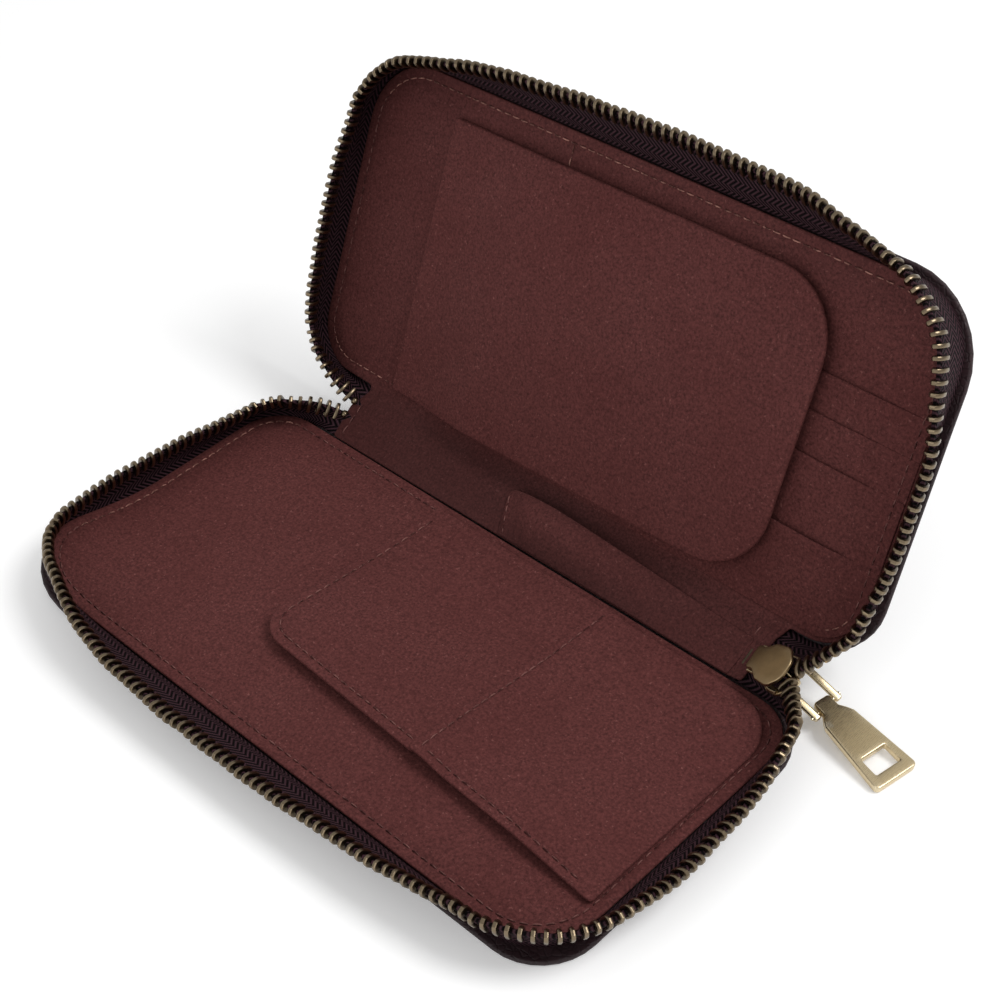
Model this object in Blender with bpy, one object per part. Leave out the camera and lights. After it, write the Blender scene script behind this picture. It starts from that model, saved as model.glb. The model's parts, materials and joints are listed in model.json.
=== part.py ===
"""Zip-around organizer for glasses and cards, standing open like a book on its lower half.

Run with: blender --background --python part.py
Units are metres, +Z is up, +X runs along the spine and +Y from the lower half to the upper one.
The origin is the centre of the lower cover's underside.

Each panel is modelled in its own flat frame: u along the spine, v away from its fold line, and
h above its lining. Three empties lay those frames out: the lower half is flat, the spine strip
leans on the lower fold line, and the upper half leans further on the upper one.
"""

import math

import bmesh
import bpy
import numpy as np
from mathutils import Vector

MM = 0.001

# Panels
LINING_LENGTH = 180.0 * MM
LINING_WIDTH = 85.7 * MM
SPINE_WIDTH = 17.7 * MM
SPINE_LENGTH = 136.5 * MM
SPINE_FOLD = math.radians(26.8)
COVER_FOLD = math.radians(38.4)
OUTER_CORNER = 18.0 * MM
SPINE_CORNER = 12.6 * MM
COVER_RIM = 2.5 * MM
BOARD_INSET = 3.0 * MM

# Layers, from the lining down to the outer leather
LINING = 0.8 * MM
BOARD = 1.0 * MM
COVER = 1.4 * MM
GAP = 0.3 * MM
BOARD_TOP = -LINING - GAP
COVER_TOP = BOARD_TOP - BOARD - GAP
COVER_BOTTOM = COVER_TOP - COVER
CREASE_Y = LINING_WIDTH / 2

# Zip: a woven tape stands on each half's rim and carries a row of metal teeth
TAPE_OFFSET = 1.3 * MM
TAPE = 0.9 * MM
TAPE_HEIGHT = 10.6 * MM
TAPE_FOOT = COVER_TOP + GAP
TEETH_START = 10.9 * MM
TEETH_END = 13.6 * MM
TEETH = 3.0 * MM
STOPS_END = 0.010  # shares of the path: a stop, then the teeth, which end clear of the slider
TEETH_SHARES = (0.012, 0.944)
TAPE_STEPS_DOWN = (0.935, 0.955)  # where the tape drops away, under the slider
TAPE_LOW = 1.6 * MM
# Lean of the tape from upright, outward positive: (share of the path, degrees). The path
# runs round a half from the spine's -X end to its +X end.
LOWER_LEAN = (
    (0.0, -30), (0.08, -41), (0.14, -25), (0.20, -18), (0.26, -22), (0.30, -10), (0.34, 25),
    (0.39, 48), (0.46, 56), (0.56, 52), (0.64, 41), (0.70, 22), (0.745, 30), (0.80, 46),
    (0.855, 43), (0.90, 28), (0.94, 4), (1.0, 2),
)  # fmt: skip
UPPER_LEAN = (
    (0.0, -15), (0.06, -34), (0.11, -18), (0.18, -14), (0.24, -24), (0.275, -22), (0.32, 10),
    (0.38, 34), (0.46, 46), (0.55, 50), (0.62, 48), (0.67, 26), (0.72, 2), (0.76, 2),
    (0.80, 22), (0.85, 27), (0.90, 18), (0.94, 4), (1.0, 10),
)  # fmt: skip

# Lower half: two pocket panels, open towards the long outer edge
POCKET = 0.8 * MM
POCKET_LEFT_U = -24.5 * MM
POCKET_SPLIT_U = 31.8 * MM
POCKET_RIGHT_U = 86.6 * MM
POCKET_FOOT_V = 2.0 * MM
POCKET_MOUTH_V = 62.5 * MM
POCKET_MOUTH_SLOPE = 0.055
POCKET_SIDE_LEAN = 0.03
POCKET_CORNER = 5.5 * MM

# Spine: a bulging sleeve sewn along the lower fold line, open along the upper one
SLEEVE = 0.9 * MM
SLEEVE_START_U = -7.0 * MM
SLEEVE_END_U = 64.0 * MM
SLEEVE_FOOT_V = 0.8 * MM
SLEEVE_MOUTH_V = 12.6 * MM
SLEEVE_RISE = 3.3 * MM
SLEEVE_MOUTH_DROP = 0.9 * MM

# Upper half: card slots, open away from the spine, and a page over them
SLOT = 0.5 * MM
SLOT_LEFT_U = -22.5 * MM
SLOT_RIGHT_U = 86.6 * MM
SLOT_MOUTHS_V = (59.0 * MM, 50.0 * MM, 40.5 * MM, 23.6 * MM)
SLOT_FEET_V = (37.0 * MM, 25.0 * MM, 4.0 * MM, 4.0 * MM)
FLAP = 1.0 * MM
FLAP_HINGE_U = -60.3 * MM
FLAP_END_U = 61.6 * MM
FLAP_FOOT_V = 2.2 * MM
FLAP_FOOT_SLOPE = 0.028
FLAP_TOP_V = 77.3 * MM
FLAP_TOP_SLOPE = 0.007
FLAP_CORNER = 17.8 * MM
FLAP_LOW = 0.4 * MM
FLAP_HIGH = 3.6 * MM
FLAP_RAMP_START_U = -58.0 * MM
FLAP_RAMP_END_U = -26.0 * MM

# Slider, at the spine's +X end, and the zip's bottom stop behind it
STOP_LENGTH = 2.4 * MM
STOP_WIDTH = 4.6 * MM
STOP_HEIGHT = 2.0 * MM
STOP_LOW = -0.6 * MM
SLIDER_U = 78.1 * MM
SLIDER_V = 6.4 * MM
SLIDER_H = 5.4 * MM
SLIDER_PITCH = math.radians(25.0)
SLIDER_LENGTH = 12.4 * MM
SLIDER_FRONT = 10.0 * MM
SLIDER_WAIST = 7.4 * MM
SLIDER_PLATE = 1.0 * MM
SLIDER_CHANNEL = 3.2 * MM
POST_LENGTH = 3.4 * MM
POST_WIDTH = 2.2 * MM
BRIDGE_WIDTH = 2.2 * MM
BRIDGE_LENGTH = 8.6 * MM
BRIDGE_RISE = 3.9 * MM
BRIDGE_WALL = 0.9 * MM
BAR_X = 1.0 * MM
BAR_Z = -4.5 * MM

# Pull: a stirrup on the bridge, a pin and a plate on the pin. Its play in the bridge lets it
# hang off centre and less leaned than the slider.
LINK_ROLL = math.radians(13.4)
LINK_PITCH = math.radians(21.0)
LINK_OFF_CENTRE = 1.6 * MM
TAB_YAW = math.radians(-10.0)
LINK_LENGTH = 9.8 * MM
LINK_INSIDE = 6.2 * MM
LINK_WIRE = 1.3 * MM
PIN_RADIUS = 0.5 * MM
TAB_PITCH = math.radians(10.0)
TAB = 2.0 * MM
TAB_WIDTH = 12.3 * MM
TAB_SHOULDER_WIDTH = 8.6 * MM
TAB_LENGTH = 23.2 * MM
TAB_HEAD = 1.8 * MM
TAB_HEAD_WIDTH = 4.6 * MM
TAB_SHOULDER = 4.4 * MM
TAB_CORNER = 1.2 * MM
TAB_EYE_RADIUS = 0.62 * MM
TAB_HOLE_LENGTH = 4.9 * MM
TAB_HOLE_WIDTH = 7.3 * MM
TAB_HOLE_MARGIN = 2.95 * MM

MAROON = (0.105, 0.028, 0.026)
DARK_LEATHER = (0.022, 0.011, 0.010)
TAPE_BLACK = (0.016, 0.010, 0.014)
BOARD_GREY = (0.35, 0.31, 0.26)
BRASS = (0.42, 0.34, 0.20)


def clear_scene():
    for obj in list(bpy.data.objects):
        bpy.data.objects.remove(obj, do_unlink=True)


def material(name, color, roughness, metallic=0.0):
    """One Principled material for each name, made on first use."""
    found = bpy.data.materials.get(name)
    if found:
        return found
    made = bpy.data.materials.new(name)
    made.use_nodes = True
    shader = made.node_tree.nodes["Principled BSDF"]
    shader.inputs["Base Color"].default_value = (*color, 1.0)
    shader.inputs["Roughness"].default_value = roughness
    shader.inputs["Metallic"].default_value = metallic
    return made


def lining_leather():
    return material("lining_leather", MAROON, 0.8)


def outer_leather():
    return material("outer_leather", DARK_LEATHER, 0.45)


def stiffener():
    return material("stiffener", BOARD_GREY, 0.9)


def woven_tape():
    return material("woven_tape", TAPE_BLACK, 0.85)


def antique_brass():
    return material("antique_brass", BRASS, 0.35, 1.0)


def frame(name, parent=None, location=(0, 0, 0), rotation=(0, 0, 0)):
    """An empty that a panel or a moving piece is laid out in."""
    empty = bpy.data.objects.new(name, None)
    bpy.context.scene.collection.objects.link(empty)
    empty.parent = parent
    empty.location = location
    empty.rotation_euler = rotation
    return empty


def finish(name, mesh, parent, surface, smooth=False):
    """The mesh becomes a named object in its parent's frame, with its faces turned outward."""
    bmesh.ops.recalc_face_normals(mesh, faces=mesh.faces)
    data = bpy.data.meshes.new(name)
    mesh.to_mesh(data)
    mesh.free()
    if smooth:
        data.shade_smooth()
        data.set_sharp_from_angle(angle=math.radians(40))
    obj = bpy.data.objects.new(name, data)
    bpy.context.scene.collection.objects.link(obj)
    obj.parent = parent
    data.materials.append(surface)
    return obj


def extruded(outline, low, high):
    """A bmesh prism over a flat outline."""
    mesh = bmesh.new()
    base = mesh.faces.new([mesh.verts.new((x, y, low)) for x, y in outline])
    made = bmesh.ops.extrude_face_region(mesh, geom=[base])
    top = [v for v in made["geom"] if isinstance(v, bmesh.types.BMVert)]
    bmesh.ops.translate(mesh, verts=top, vec=(0, 0, high - low))
    return mesh


def plate(name, outline, low, high, parent, surface):
    return finish(name, extruded(outline, low, high), parent, surface)


def arc(centre, radius, start, end, steps):
    """Points of a circular arc, with its ends."""
    angles = [start + (end - start) * i / steps for i in range(steps + 1)]
    return [
        (centre[0] + radius * math.cos(a), centre[1] + radius * math.sin(a))
        for a in angles
    ]


def rounded_panel(half_length, near, far, near_radius, far_radius, steps=7):
    """A panel's outline, from its +X near corner round to its -X one."""
    right, quarter = half_length, math.pi / 2
    return (
        arc((right - near_radius, near + near_radius), near_radius, -quarter, 0, steps)
        + arc((right - far_radius, far - far_radius), far_radius, 0, quarter, steps)
        + arc((far_radius - right, far - far_radius), far_radius, quarter, 2 * quarter, steps)
        + arc((near_radius - right, near + near_radius), near_radius, 2 * quarter, 3 * quarter, steps)
    )  # fmt: skip


def mirrored(outline, side):
    """Outlines are drawn with v away from the fold line, which is -Y on the lower half."""
    return [(u, side * v) for u, v in outline]


def zip_path(steps=9, stride=0.0035):
    """The line that a tape stands on: [(point, outward normal, share of the path)]."""
    half, near, far = (
        LINING_LENGTH / 2 + TAPE_OFFSET,
        -TAPE_OFFSET,
        LINING_WIDTH + TAPE_OFFSET,
    )
    outline = rounded_panel(
        half, near, far, SPINE_CORNER + TAPE_OFFSET, OUTER_CORNER, steps
    )
    outline = [(SPINE_LENGTH / 2, near)] + outline + [(-SPINE_LENGTH / 2, near)]
    outline.reverse()
    points = [Vector(outline[0])]
    for corner in outline[1:]:
        start, end = points[-1].copy(), Vector(corner)
        parts = max(1, math.ceil((end - start).length / stride))
        points += [start.lerp(end, (i + 1) / parts) for i in range(parts)]
    lengths = [0.0]
    for before, after in zip(points, points[1:]):
        lengths.append(lengths[-1] + (after - before).length)
    path = []
    for i, point in enumerate(points):
        along = points[min(i + 1, len(points) - 1)] - points[max(i - 1, 0)]
        normal = Vector((-along.y, along.x)).normalized()
        path.append((point, normal, lengths[i] / lengths[-1]))
    return path


def lean_at(share, table):
    """The tape's lean at a share of the path, with the table's corners rounded off."""
    shares, degrees = zip(*table)
    near = np.interp([share - 0.012, share, share + 0.012], shares, degrees)
    return math.radians(float(near.mean()))


def swept(name, path, section, side, parent, surface):
    """A closed band along the path. section(share) gives its corners as (outward, up)."""
    mesh = bmesh.new()
    rings = []
    for point, normal, share in path:
        ring = []
        for outward, up in section(share):
            spot = point + normal * outward
            ring.append(mesh.verts.new((spot.x, side * spot.y, up)))
        rings.append(ring)
    for first, second in zip(rings, rings[1:]):
        for i in range(len(first)):
            j = (i + 1) % len(first)
            mesh.faces.new((first[i], first[j], second[j], second[i]))
    mesh.faces.new(list(reversed(rings[0])))
    mesh.faces.new(rings[-1])
    bmesh.ops.triangulate(mesh, faces=mesh.faces)
    return finish(name, mesh, parent, surface)


def tape_section(table):
    """A strip that stands beside the lining and then leans with the table."""

    def section(share):
        lean, half = lean_at(share, table), TAPE / 2
        height = float(np.interp(share, TAPE_STEPS_DOWN, (TAPE_HEIGHT, TAPE_LOW)))
        tip = (height * math.sin(lean), height * math.cos(lean))
        side = (half * math.cos(lean), -half * math.sin(lean))
        return [
            (-half, TAPE_FOOT), (-half, 0.0), (tip[0] - side[0], tip[1] - side[1]),
            (tip[0] + side[0], tip[1] + side[1]), (half, 0.0), (half, TAPE_FOOT),
        ]  # fmt: skip

    return section


def teeth_section(table):
    """The bar that the row of teeth fills, beyond the tape's edge."""

    def section(share):
        lean, half = lean_at(share, table), TEETH / 2
        along, across = (math.sin(lean), math.cos(lean)), (math.cos(lean), -math.sin(lean))
        return [
            (reach * along[0] + out * across[0], reach * along[1] + out * across[1])
            for reach, out in (
                (TEETH_START, -half), (TEETH_END, -half), (TEETH_END, half), (TEETH_START, half),
            )
        ]  # fmt: skip

    return section


def build_shell(half_name, side, parent):
    """The cover, stiffener and lining of a half, as flat layers."""
    half = LINING_LENGTH / 2
    cover = rounded_panel(
        half + COVER_RIM, GAP, LINING_WIDTH + COVER_RIM, SPINE_CORNER + COVER_RIM,
        OUTER_CORNER + COVER_RIM,
    )  # fmt: skip
    board = rounded_panel(
        half - BOARD_INSET, BOARD_INSET, LINING_WIDTH - BOARD_INSET,
        SPINE_CORNER - BOARD_INSET, OUTER_CORNER - BOARD_INSET,
    )  # fmt: skip
    lining = rounded_panel(half, GAP, LINING_WIDTH, SPINE_CORNER, OUTER_CORNER)
    plate(half_name + "_cover", mirrored(cover, side), COVER_BOTTOM, COVER_TOP, parent, outer_leather())
    plate(half_name + "_board", mirrored(board, side), BOARD_TOP - BOARD, BOARD_TOP, parent, stiffener())
    plate(half_name + "_lining", mirrored(lining, side), -LINING, 0.0, parent, lining_leather())


def build_zip(half_name, side, table, parent):
    """The tape, its row of teeth and the stop at the row's far end from the slider."""
    path, teeth = zip_path(), teeth_section(table)
    row = [station for station in path if TEETH_SHARES[0] <= station[2] <= TEETH_SHARES[1]]
    stop = [station for station in path if station[2] <= STOPS_END]
    swept(half_name + "_zip_tape", path, tape_section(table), side, parent, woven_tape())
    swept(half_name + "_zip_teeth", row, teeth, side, parent, antique_brass())
    swept(half_name + "_top_stop", stop, teeth, side, parent, antique_brass())


def pocket_mouth(u):
    return POCKET_MOUTH_V + POCKET_MOUTH_SLOPE * (u - POCKET_LEFT_U)


def build_lower_pockets(parent):
    """Two panels side by side. Each one's mouth faces the long outer edge."""
    low, high = GAP, GAP + POCKET
    side_shift = POCKET_SIDE_LEAN * POCKET_MOUTH_V
    left_edge = POCKET_LEFT_U - side_shift
    corner = arc(
        (left_edge + POCKET_CORNER, pocket_mouth(left_edge) - POCKET_CORNER),
        POCKET_CORNER, math.pi / 2, math.pi, 5,
    )  # fmt: skip
    split_top = POCKET_SPLIT_U - side_shift
    left = [
        (POCKET_LEFT_U, POCKET_FOOT_V),
        (POCKET_SPLIT_U - GAP, POCKET_FOOT_V),
        (split_top - GAP, pocket_mouth(split_top)),
        *corner,
    ]
    right_corner = OUTER_CORNER - (LINING_LENGTH / 2 - POCKET_RIGHT_U)
    right_start = POCKET_FOOT_V + right_corner / 2
    right = [
        (POCKET_SPLIT_U, POCKET_FOOT_V),
        *arc((POCKET_RIGHT_U - right_corner / 2, right_start), right_corner / 2, -math.pi / 2, 0, 5),
        (POCKET_RIGHT_U, pocket_mouth(POCKET_RIGHT_U)),
        (split_top, pocket_mouth(split_top)),
    ]
    plate("lower_pocket_left", mirrored(left, -1), low, high, parent, lining_leather())
    plate("lower_pocket_right", mirrored(right, -1), low, high, parent, lining_leather())


def build_spine(parent):
    """The strip between the two fold lines, in the same layers as the halves."""
    near, far, half = GAP, SPINE_WIDTH - GAP, SPINE_LENGTH / 2

    def strip(inset):
        return [
            (inset - half, near + inset), (half - inset, near + inset),
            (half - inset, far - inset), (inset - half, far - inset),
        ]  # fmt: skip

    plate("spine_cover", strip(0.0), COVER_BOTTOM, COVER_TOP, parent, outer_leather())
    plate("spine_board", strip(BOARD_INSET / 2), BOARD_TOP - BOARD, BOARD_TOP, parent, stiffener())
    plate("spine_lining", strip(0.0), -LINING, 0.0, parent, lining_leather())


def sheet(name, columns, thickness, span, parent, surface, along="u"):
    """A curved sheet of even thickness. columns are (across, height) and span its two ends."""
    mesh = bmesh.new()
    rings = []
    for place in span:
        ring = []
        upper = [(a, h + thickness) for a, h in reversed(columns)]
        for across, height in list(columns) + upper:
            spot = (place, across, height) if along == "u" else (across, place, height)
            ring.append(mesh.verts.new(spot))
        rings.append(ring)
    count = len(rings[0])
    for i in range(count):
        j = (i + 1) % count
        mesh.faces.new((rings[0][i], rings[0][j], rings[1][j], rings[1][i]))
    mesh.faces.new(rings[0])
    mesh.faces.new(rings[1])
    bmesh.ops.triangulate(mesh, faces=mesh.faces)
    return finish(name, mesh, parent, surface)


def build_sleeve(parent):
    """The spine sleeve's cross-section rises from its seam and hangs over a little at its mouth."""
    columns, steps = [], 10
    for i in range(steps + 1):
        share = i / steps
        across = SLEEVE_FOOT_V + (SLEEVE_MOUTH_V - SLEEVE_FOOT_V) * share
        height = GAP + SLEEVE_RISE * math.sin(math.pi / 2 * min(1.0, 1.9 * share))
        height -= SLEEVE_MOUTH_DROP * max(0.0, share - 0.5) ** 2 * 4
        columns.append((across, height))
    span = (SLEEVE_START_U, SLEEVE_END_U)
    sheet("spine_sleeve", columns, SLEEVE, span, parent, lining_leather())


def build_bottom_stop(parent):
    """The block that joins the two tapes behind the slider."""
    start, middle = SPINE_LENGTH / 2 + GAP, SLIDER_V
    half = STOP_WIDTH / 2
    outline = [
        (start, middle - half), (start + STOP_LENGTH, middle - half),
        (start + STOP_LENGTH, middle + half), (start, middle + half),
    ]  # fmt: skip
    plate("zip_bottom_stop", outline, STOP_LOW, STOP_LOW + STOP_HEIGHT, parent, antique_brass())


def build_card_slots(parent):
    """Stepped panels, each lying over the one whose mouth is further from the spine."""
    for number, (foot, mouth) in enumerate(zip(SLOT_FEET_V, SLOT_MOUTHS_V), 1):
        low = GAP + (number - 1) * (SLOT + GAP)
        outline = [
            (SLOT_LEFT_U, foot), (SLOT_RIGHT_U, foot), (SLOT_RIGHT_U, mouth), (SLOT_LEFT_U, mouth),
        ]  # fmt: skip
        if foot < SPINE_CORNER:
            radius = SPINE_CORNER * 0.7
            outline[1:2] = arc(
                (SLOT_RIGHT_U - radius, foot + radius), radius, -math.pi / 2, 0, 5
            )
        plate(f"card_slot_{number}", outline, low, low + SLOT, parent, lining_leather())


def flap_height(u):
    """The page is sewn down at its hinge edge and lies up on the card slots."""
    share = (u - FLAP_RAMP_START_U) / (FLAP_RAMP_END_U - FLAP_RAMP_START_U)
    share = min(1.0, max(0.0, share))
    return FLAP_LOW + (FLAP_HIGH - FLAP_LOW) * share * share * (3 - 2 * share)


def build_flap(parent):
    """The page, in a frame on its hinge edge's upper corner. Its two free corners are round."""
    mesh = bmesh.new()
    straight, count = FLAP_END_U - FLAP_CORNER - FLAP_HINGE_U, 26
    stations = [FLAP_HINGE_U + straight * i / count for i in range(count)]
    stations += [
        FLAP_END_U - FLAP_CORNER * (1 - math.sin(math.pi / 2 * i / 8)) for i in range(9)
    ]
    rings = []
    for u in stations:
        into = max(0.0, u - (FLAP_END_U - FLAP_CORNER)) / FLAP_CORNER
        cut = FLAP_CORNER * (1 - math.sqrt(max(0.0, 1 - into * into)))
        low = FLAP_FOOT_V + FLAP_FOOT_SLOPE * (u - FLAP_HINGE_U) + cut
        high = FLAP_TOP_V + FLAP_TOP_SLOPE * (u - FLAP_HINGE_U) - cut
        height = flap_height(u)
        ring = [
            mesh.verts.new((u - FLAP_HINGE_U, v, h - FLAP_LOW - FLAP))
            for v, h in ((low, height), (high, height), (high, height + FLAP), (low, height + FLAP))
        ]
        rings.append(ring)
    for first, second in zip(rings, rings[1:]):
        for i in range(4):
            j = (i + 1) % 4
            mesh.faces.new((first[i], first[j], second[j], second[i]))
    mesh.faces.new(rings[0])
    mesh.faces.new(rings[-1])
    bmesh.ops.triangulate(mesh, faces=mesh.faces)
    finish("flap", mesh, parent, lining_leather())


def slider_outline():
    """A slider plate seen from above: wide at its open mouth, with a waist near its tail."""
    front, waist = SLIDER_FRONT / 2, SLIDER_WAIST / 2
    nose, tail = SLIDER_LENGTH / 2, -SLIDER_LENGTH / 2
    upper = [
        (tail, waist * 0.95), (tail * 0.55, waist), (tail * 0.15, waist * 1.12), (nose * 0.25, front),
        (nose * 0.72, front * 0.92), (nose * 0.93, front * 0.62), (nose, front * 0.2),
    ]  # fmt: skip
    return [(x, -y) for x, y in upper] + [(x, y) for x, y in reversed(upper)]


def prism_object(name, outline, low, high):
    """A brass solid at the origin, for a Boolean."""
    return finish(name, extruded(outline, low, high), None, antique_brass())


def cylinder(name, radius, depth, parent, surface):
    mesh = bmesh.new()
    bmesh.ops.create_cone(
        mesh, cap_ends=True, segments=16, radius1=radius, radius2=radius, depth=depth
    )
    return finish(name, mesh, parent, surface, smooth=True)


def boolean(target, tool, operation):
    """Applies a Boolean and removes the tool."""
    modifier = target.modifiers.new(operation.lower(), "BOOLEAN")
    modifier.operation = operation
    modifier.object = tool
    bpy.context.view_layer.update()
    graph = bpy.context.evaluated_depsgraph_get()
    mesh = bpy.data.meshes.new_from_object(target.evaluated_get(graph))
    target.modifiers.clear()
    target.data = mesh
    bpy.data.objects.remove(tool, do_unlink=True)


def build_slider(parent):
    """Two plates on a post between the tapes' rows of teeth, and the bridge under the outer one."""
    half = SLIDER_CHANNEL / 2
    body = prism_object("slider_body", slider_outline(), half, half + SLIDER_PLATE)
    under = prism_object("under", slider_outline(), -half - SLIDER_PLATE, -half)
    nose = SLIDER_LENGTH / 2
    post_outline = [
        (nose - 0.6 * MM, 0.0), (nose - POST_LENGTH / 2, POST_WIDTH / 2),
        (nose - 0.4 * MM - POST_LENGTH, 0.0), (nose - POST_LENGTH / 2, -POST_WIDTH / 2),
    ]  # fmt: skip
    overlap = SLIDER_PLATE / 2
    post = prism_object("post", post_outline, -half - overlap, half + overlap)
    boolean(body, under, "UNION")
    boolean(body, post, "UNION")
    body.parent = parent
    top = -half - SLIDER_PLATE - 0.05 * MM
    outer = [
        (-BRIDGE_LENGTH / 2, top), (-BRIDGE_LENGTH / 2 + 0.4 * MM, top - BRIDGE_RISE * 0.7),
        (-BRIDGE_LENGTH / 4, top - BRIDGE_RISE), (BRIDGE_LENGTH / 4, top - BRIDGE_RISE),
        (BRIDGE_LENGTH / 2 - 0.4 * MM, top - BRIDGE_RISE * 0.7), (BRIDGE_LENGTH / 2, top),
    ]  # fmt: skip
    inner = [
        (BRIDGE_LENGTH / 2 - BRIDGE_WALL, top),
        (BRIDGE_LENGTH / 2 - BRIDGE_WALL - 0.3 * MM, top - BRIDGE_RISE * 0.62),
        (BRIDGE_LENGTH / 4 - 0.3 * MM, top - BRIDGE_RISE + BRIDGE_WALL),
        (-BRIDGE_LENGTH / 4 + 0.3 * MM, top - BRIDGE_RISE + BRIDGE_WALL),
        (-BRIDGE_LENGTH / 2 + BRIDGE_WALL + 0.3 * MM, top - BRIDGE_RISE * 0.62),
        (-BRIDGE_LENGTH / 2 + BRIDGE_WALL, top),
    ]  # fmt: skip
    bridge = finish(
        "slider_bridge",
        extruded(outer + inner, -BRIDGE_WIDTH / 2, BRIDGE_WIDTH / 2),
        parent,
        antique_brass(),
    )
    bridge.rotation_euler = (math.pi / 2, 0, 0)


def build_link(parent):
    """The stirrup: a bar under the bridge and two prongs, with the pin between their ends."""
    outer, inner, wire = LINK_INSIDE / 2 + LINK_WIRE, LINK_INSIDE / 2, LINK_WIRE
    back, front = -wire / 2, LINK_LENGTH + wire * 0.9
    outline = [
        (back, -outer), (front, -outer), (front, -inner), (wire / 2, -inner),
        (wire / 2, inner), (front, inner), (front, outer), (back, outer),
    ]  # fmt: skip
    outline = [(x, y + LINK_OFF_CENTRE) for x, y in outline]
    plate("pull_link", outline, -wire / 2, wire / 2, parent, antique_brass())
    pin = cylinder("pull_pin", PIN_RADIUS, LINK_INSIDE - 0.2 * MM, parent, antique_brass())
    pin.rotation_euler = (math.pi / 2, 0, 0)
    pin.location = (LINK_LENGTH, LINK_OFF_CENTRE, 0)


def build_tab(parent, link):
    """The pull plate: a narrow head on the link's pin, a shoulder, and a rectangular window."""
    half, shoulder, head = TAB_WIDTH / 2, TAB_SHOULDER_WIDTH / 2, TAB_HEAD_WIDTH / 2
    end, radius = TAB_LENGTH, TAB_CORNER
    side = [
        (-TAB_HEAD, head), (TAB_SHOULDER * 0.35, head), (TAB_SHOULDER * 0.75, shoulder * 0.8),
        (TAB_SHOULDER, shoulder),
        *reversed(arc((end - radius, half - radius), radius, 0, math.pi / 2, 4)),
    ]  # fmt: skip
    outline = [(x, -y) for x, y in side] + [(x, y) for x, y in reversed(side)]
    tab = prism_object("pull_tab", outline, -TAB / 2, TAB / 2)
    window_end = end - TAB_HOLE_MARGIN
    window_start = window_end - TAB_HOLE_LENGTH
    window = [
        (window_start, -TAB_HOLE_WIDTH / 2), (window_end, -TAB_HOLE_WIDTH / 2),
        (window_end, TAB_HOLE_WIDTH / 2), (window_start, TAB_HOLE_WIDTH / 2),
    ]  # fmt: skip
    boolean(tab, prism_object("window", window, -TAB, TAB), "DIFFERENCE")
    tab.parent = parent
    eye = cylinder("eye", TAB_EYE_RADIUS, TAB_WIDTH, link, antique_brass())
    eye.rotation_euler = (math.pi / 2, 0, 0)
    eye.location = (LINK_LENGTH, LINK_OFF_CENTRE, 0)
    boolean(tab, eye, "DIFFERENCE")


def main():
    clear_scene()
    ground = frame("ground")
    fold_line = (0, CREASE_Y, -COVER_BOTTOM)
    lower = frame("lower_frame", ground, fold_line)
    spine = frame("spine_axis", ground, fold_line, (SPINE_FOLD, 0, 0))
    upper = frame("upper_axis", spine, (0, SPINE_WIDTH, 0), (COVER_FOLD, 0, 0))
    flap_axis = frame("flap_axis", upper, (FLAP_HINGE_U, 0, FLAP_LOW + FLAP))
    slider = frame("slider_frame", spine, (SLIDER_U, SLIDER_V, SLIDER_H), (0, -SLIDER_PITCH, 0))
    build_shell("lower", -1, lower)
    build_lower_pockets(lower)
    build_zip("lower", -1, LOWER_LEAN, lower)
    build_spine(spine)
    build_sleeve(spine)
    build_bottom_stop(spine)
    build_shell("upper", 1, upper)
    build_card_slots(upper)
    build_zip("upper", 1, UPPER_LEAN, upper)
    build_flap(flap_axis)
    build_slider(slider)
    bpy.context.view_layer.update()
    bar = slider.matrix_world @ Vector((BAR_X, 0, BAR_Z))
    link = frame("link_axis", ground, bar, (LINK_ROLL, LINK_PITCH, 0))
    build_link(link)
    bpy.context.view_layer.update()
    pin = link.matrix_world @ Vector((LINK_LENGTH, LINK_OFF_CENTRE, 0))
    build_tab(frame("tab_axis", ground, pin, (0, TAB_PITCH, TAB_YAW)), link)


main()
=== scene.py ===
"""Looks for the zip-around glasses and card organizer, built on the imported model.

Every sheet of leather lies in a panel's flat frame: u along the spine, v away from the panel's
fold line, and h above its lining. The frames come from the joints, and sizes from the CAD nodes.
"""

import json
import math

import bmesh
import bpy
import numpy as np
from mathutils import Matrix, Vector, noise
from mathutils.geometry import delaunay_2d_cdt


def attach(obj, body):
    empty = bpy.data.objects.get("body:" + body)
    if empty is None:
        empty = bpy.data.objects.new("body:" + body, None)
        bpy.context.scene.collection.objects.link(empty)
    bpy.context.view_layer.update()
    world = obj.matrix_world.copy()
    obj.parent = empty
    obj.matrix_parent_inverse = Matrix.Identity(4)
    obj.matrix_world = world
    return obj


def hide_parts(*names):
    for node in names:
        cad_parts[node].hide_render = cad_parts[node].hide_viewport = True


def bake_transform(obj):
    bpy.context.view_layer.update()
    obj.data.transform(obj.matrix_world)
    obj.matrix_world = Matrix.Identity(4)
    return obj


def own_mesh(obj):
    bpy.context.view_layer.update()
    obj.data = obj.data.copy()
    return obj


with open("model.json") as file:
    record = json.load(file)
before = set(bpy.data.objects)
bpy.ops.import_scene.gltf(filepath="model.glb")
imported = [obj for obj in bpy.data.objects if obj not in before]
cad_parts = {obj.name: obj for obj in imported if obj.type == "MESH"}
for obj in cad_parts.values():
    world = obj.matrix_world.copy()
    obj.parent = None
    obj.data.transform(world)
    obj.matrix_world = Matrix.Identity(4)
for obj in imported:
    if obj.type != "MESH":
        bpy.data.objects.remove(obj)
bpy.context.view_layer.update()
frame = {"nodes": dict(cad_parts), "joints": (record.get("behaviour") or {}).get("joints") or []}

MM = 0.001
X_AXIS = np.array((1.0, 0.0, 0.0))

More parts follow.
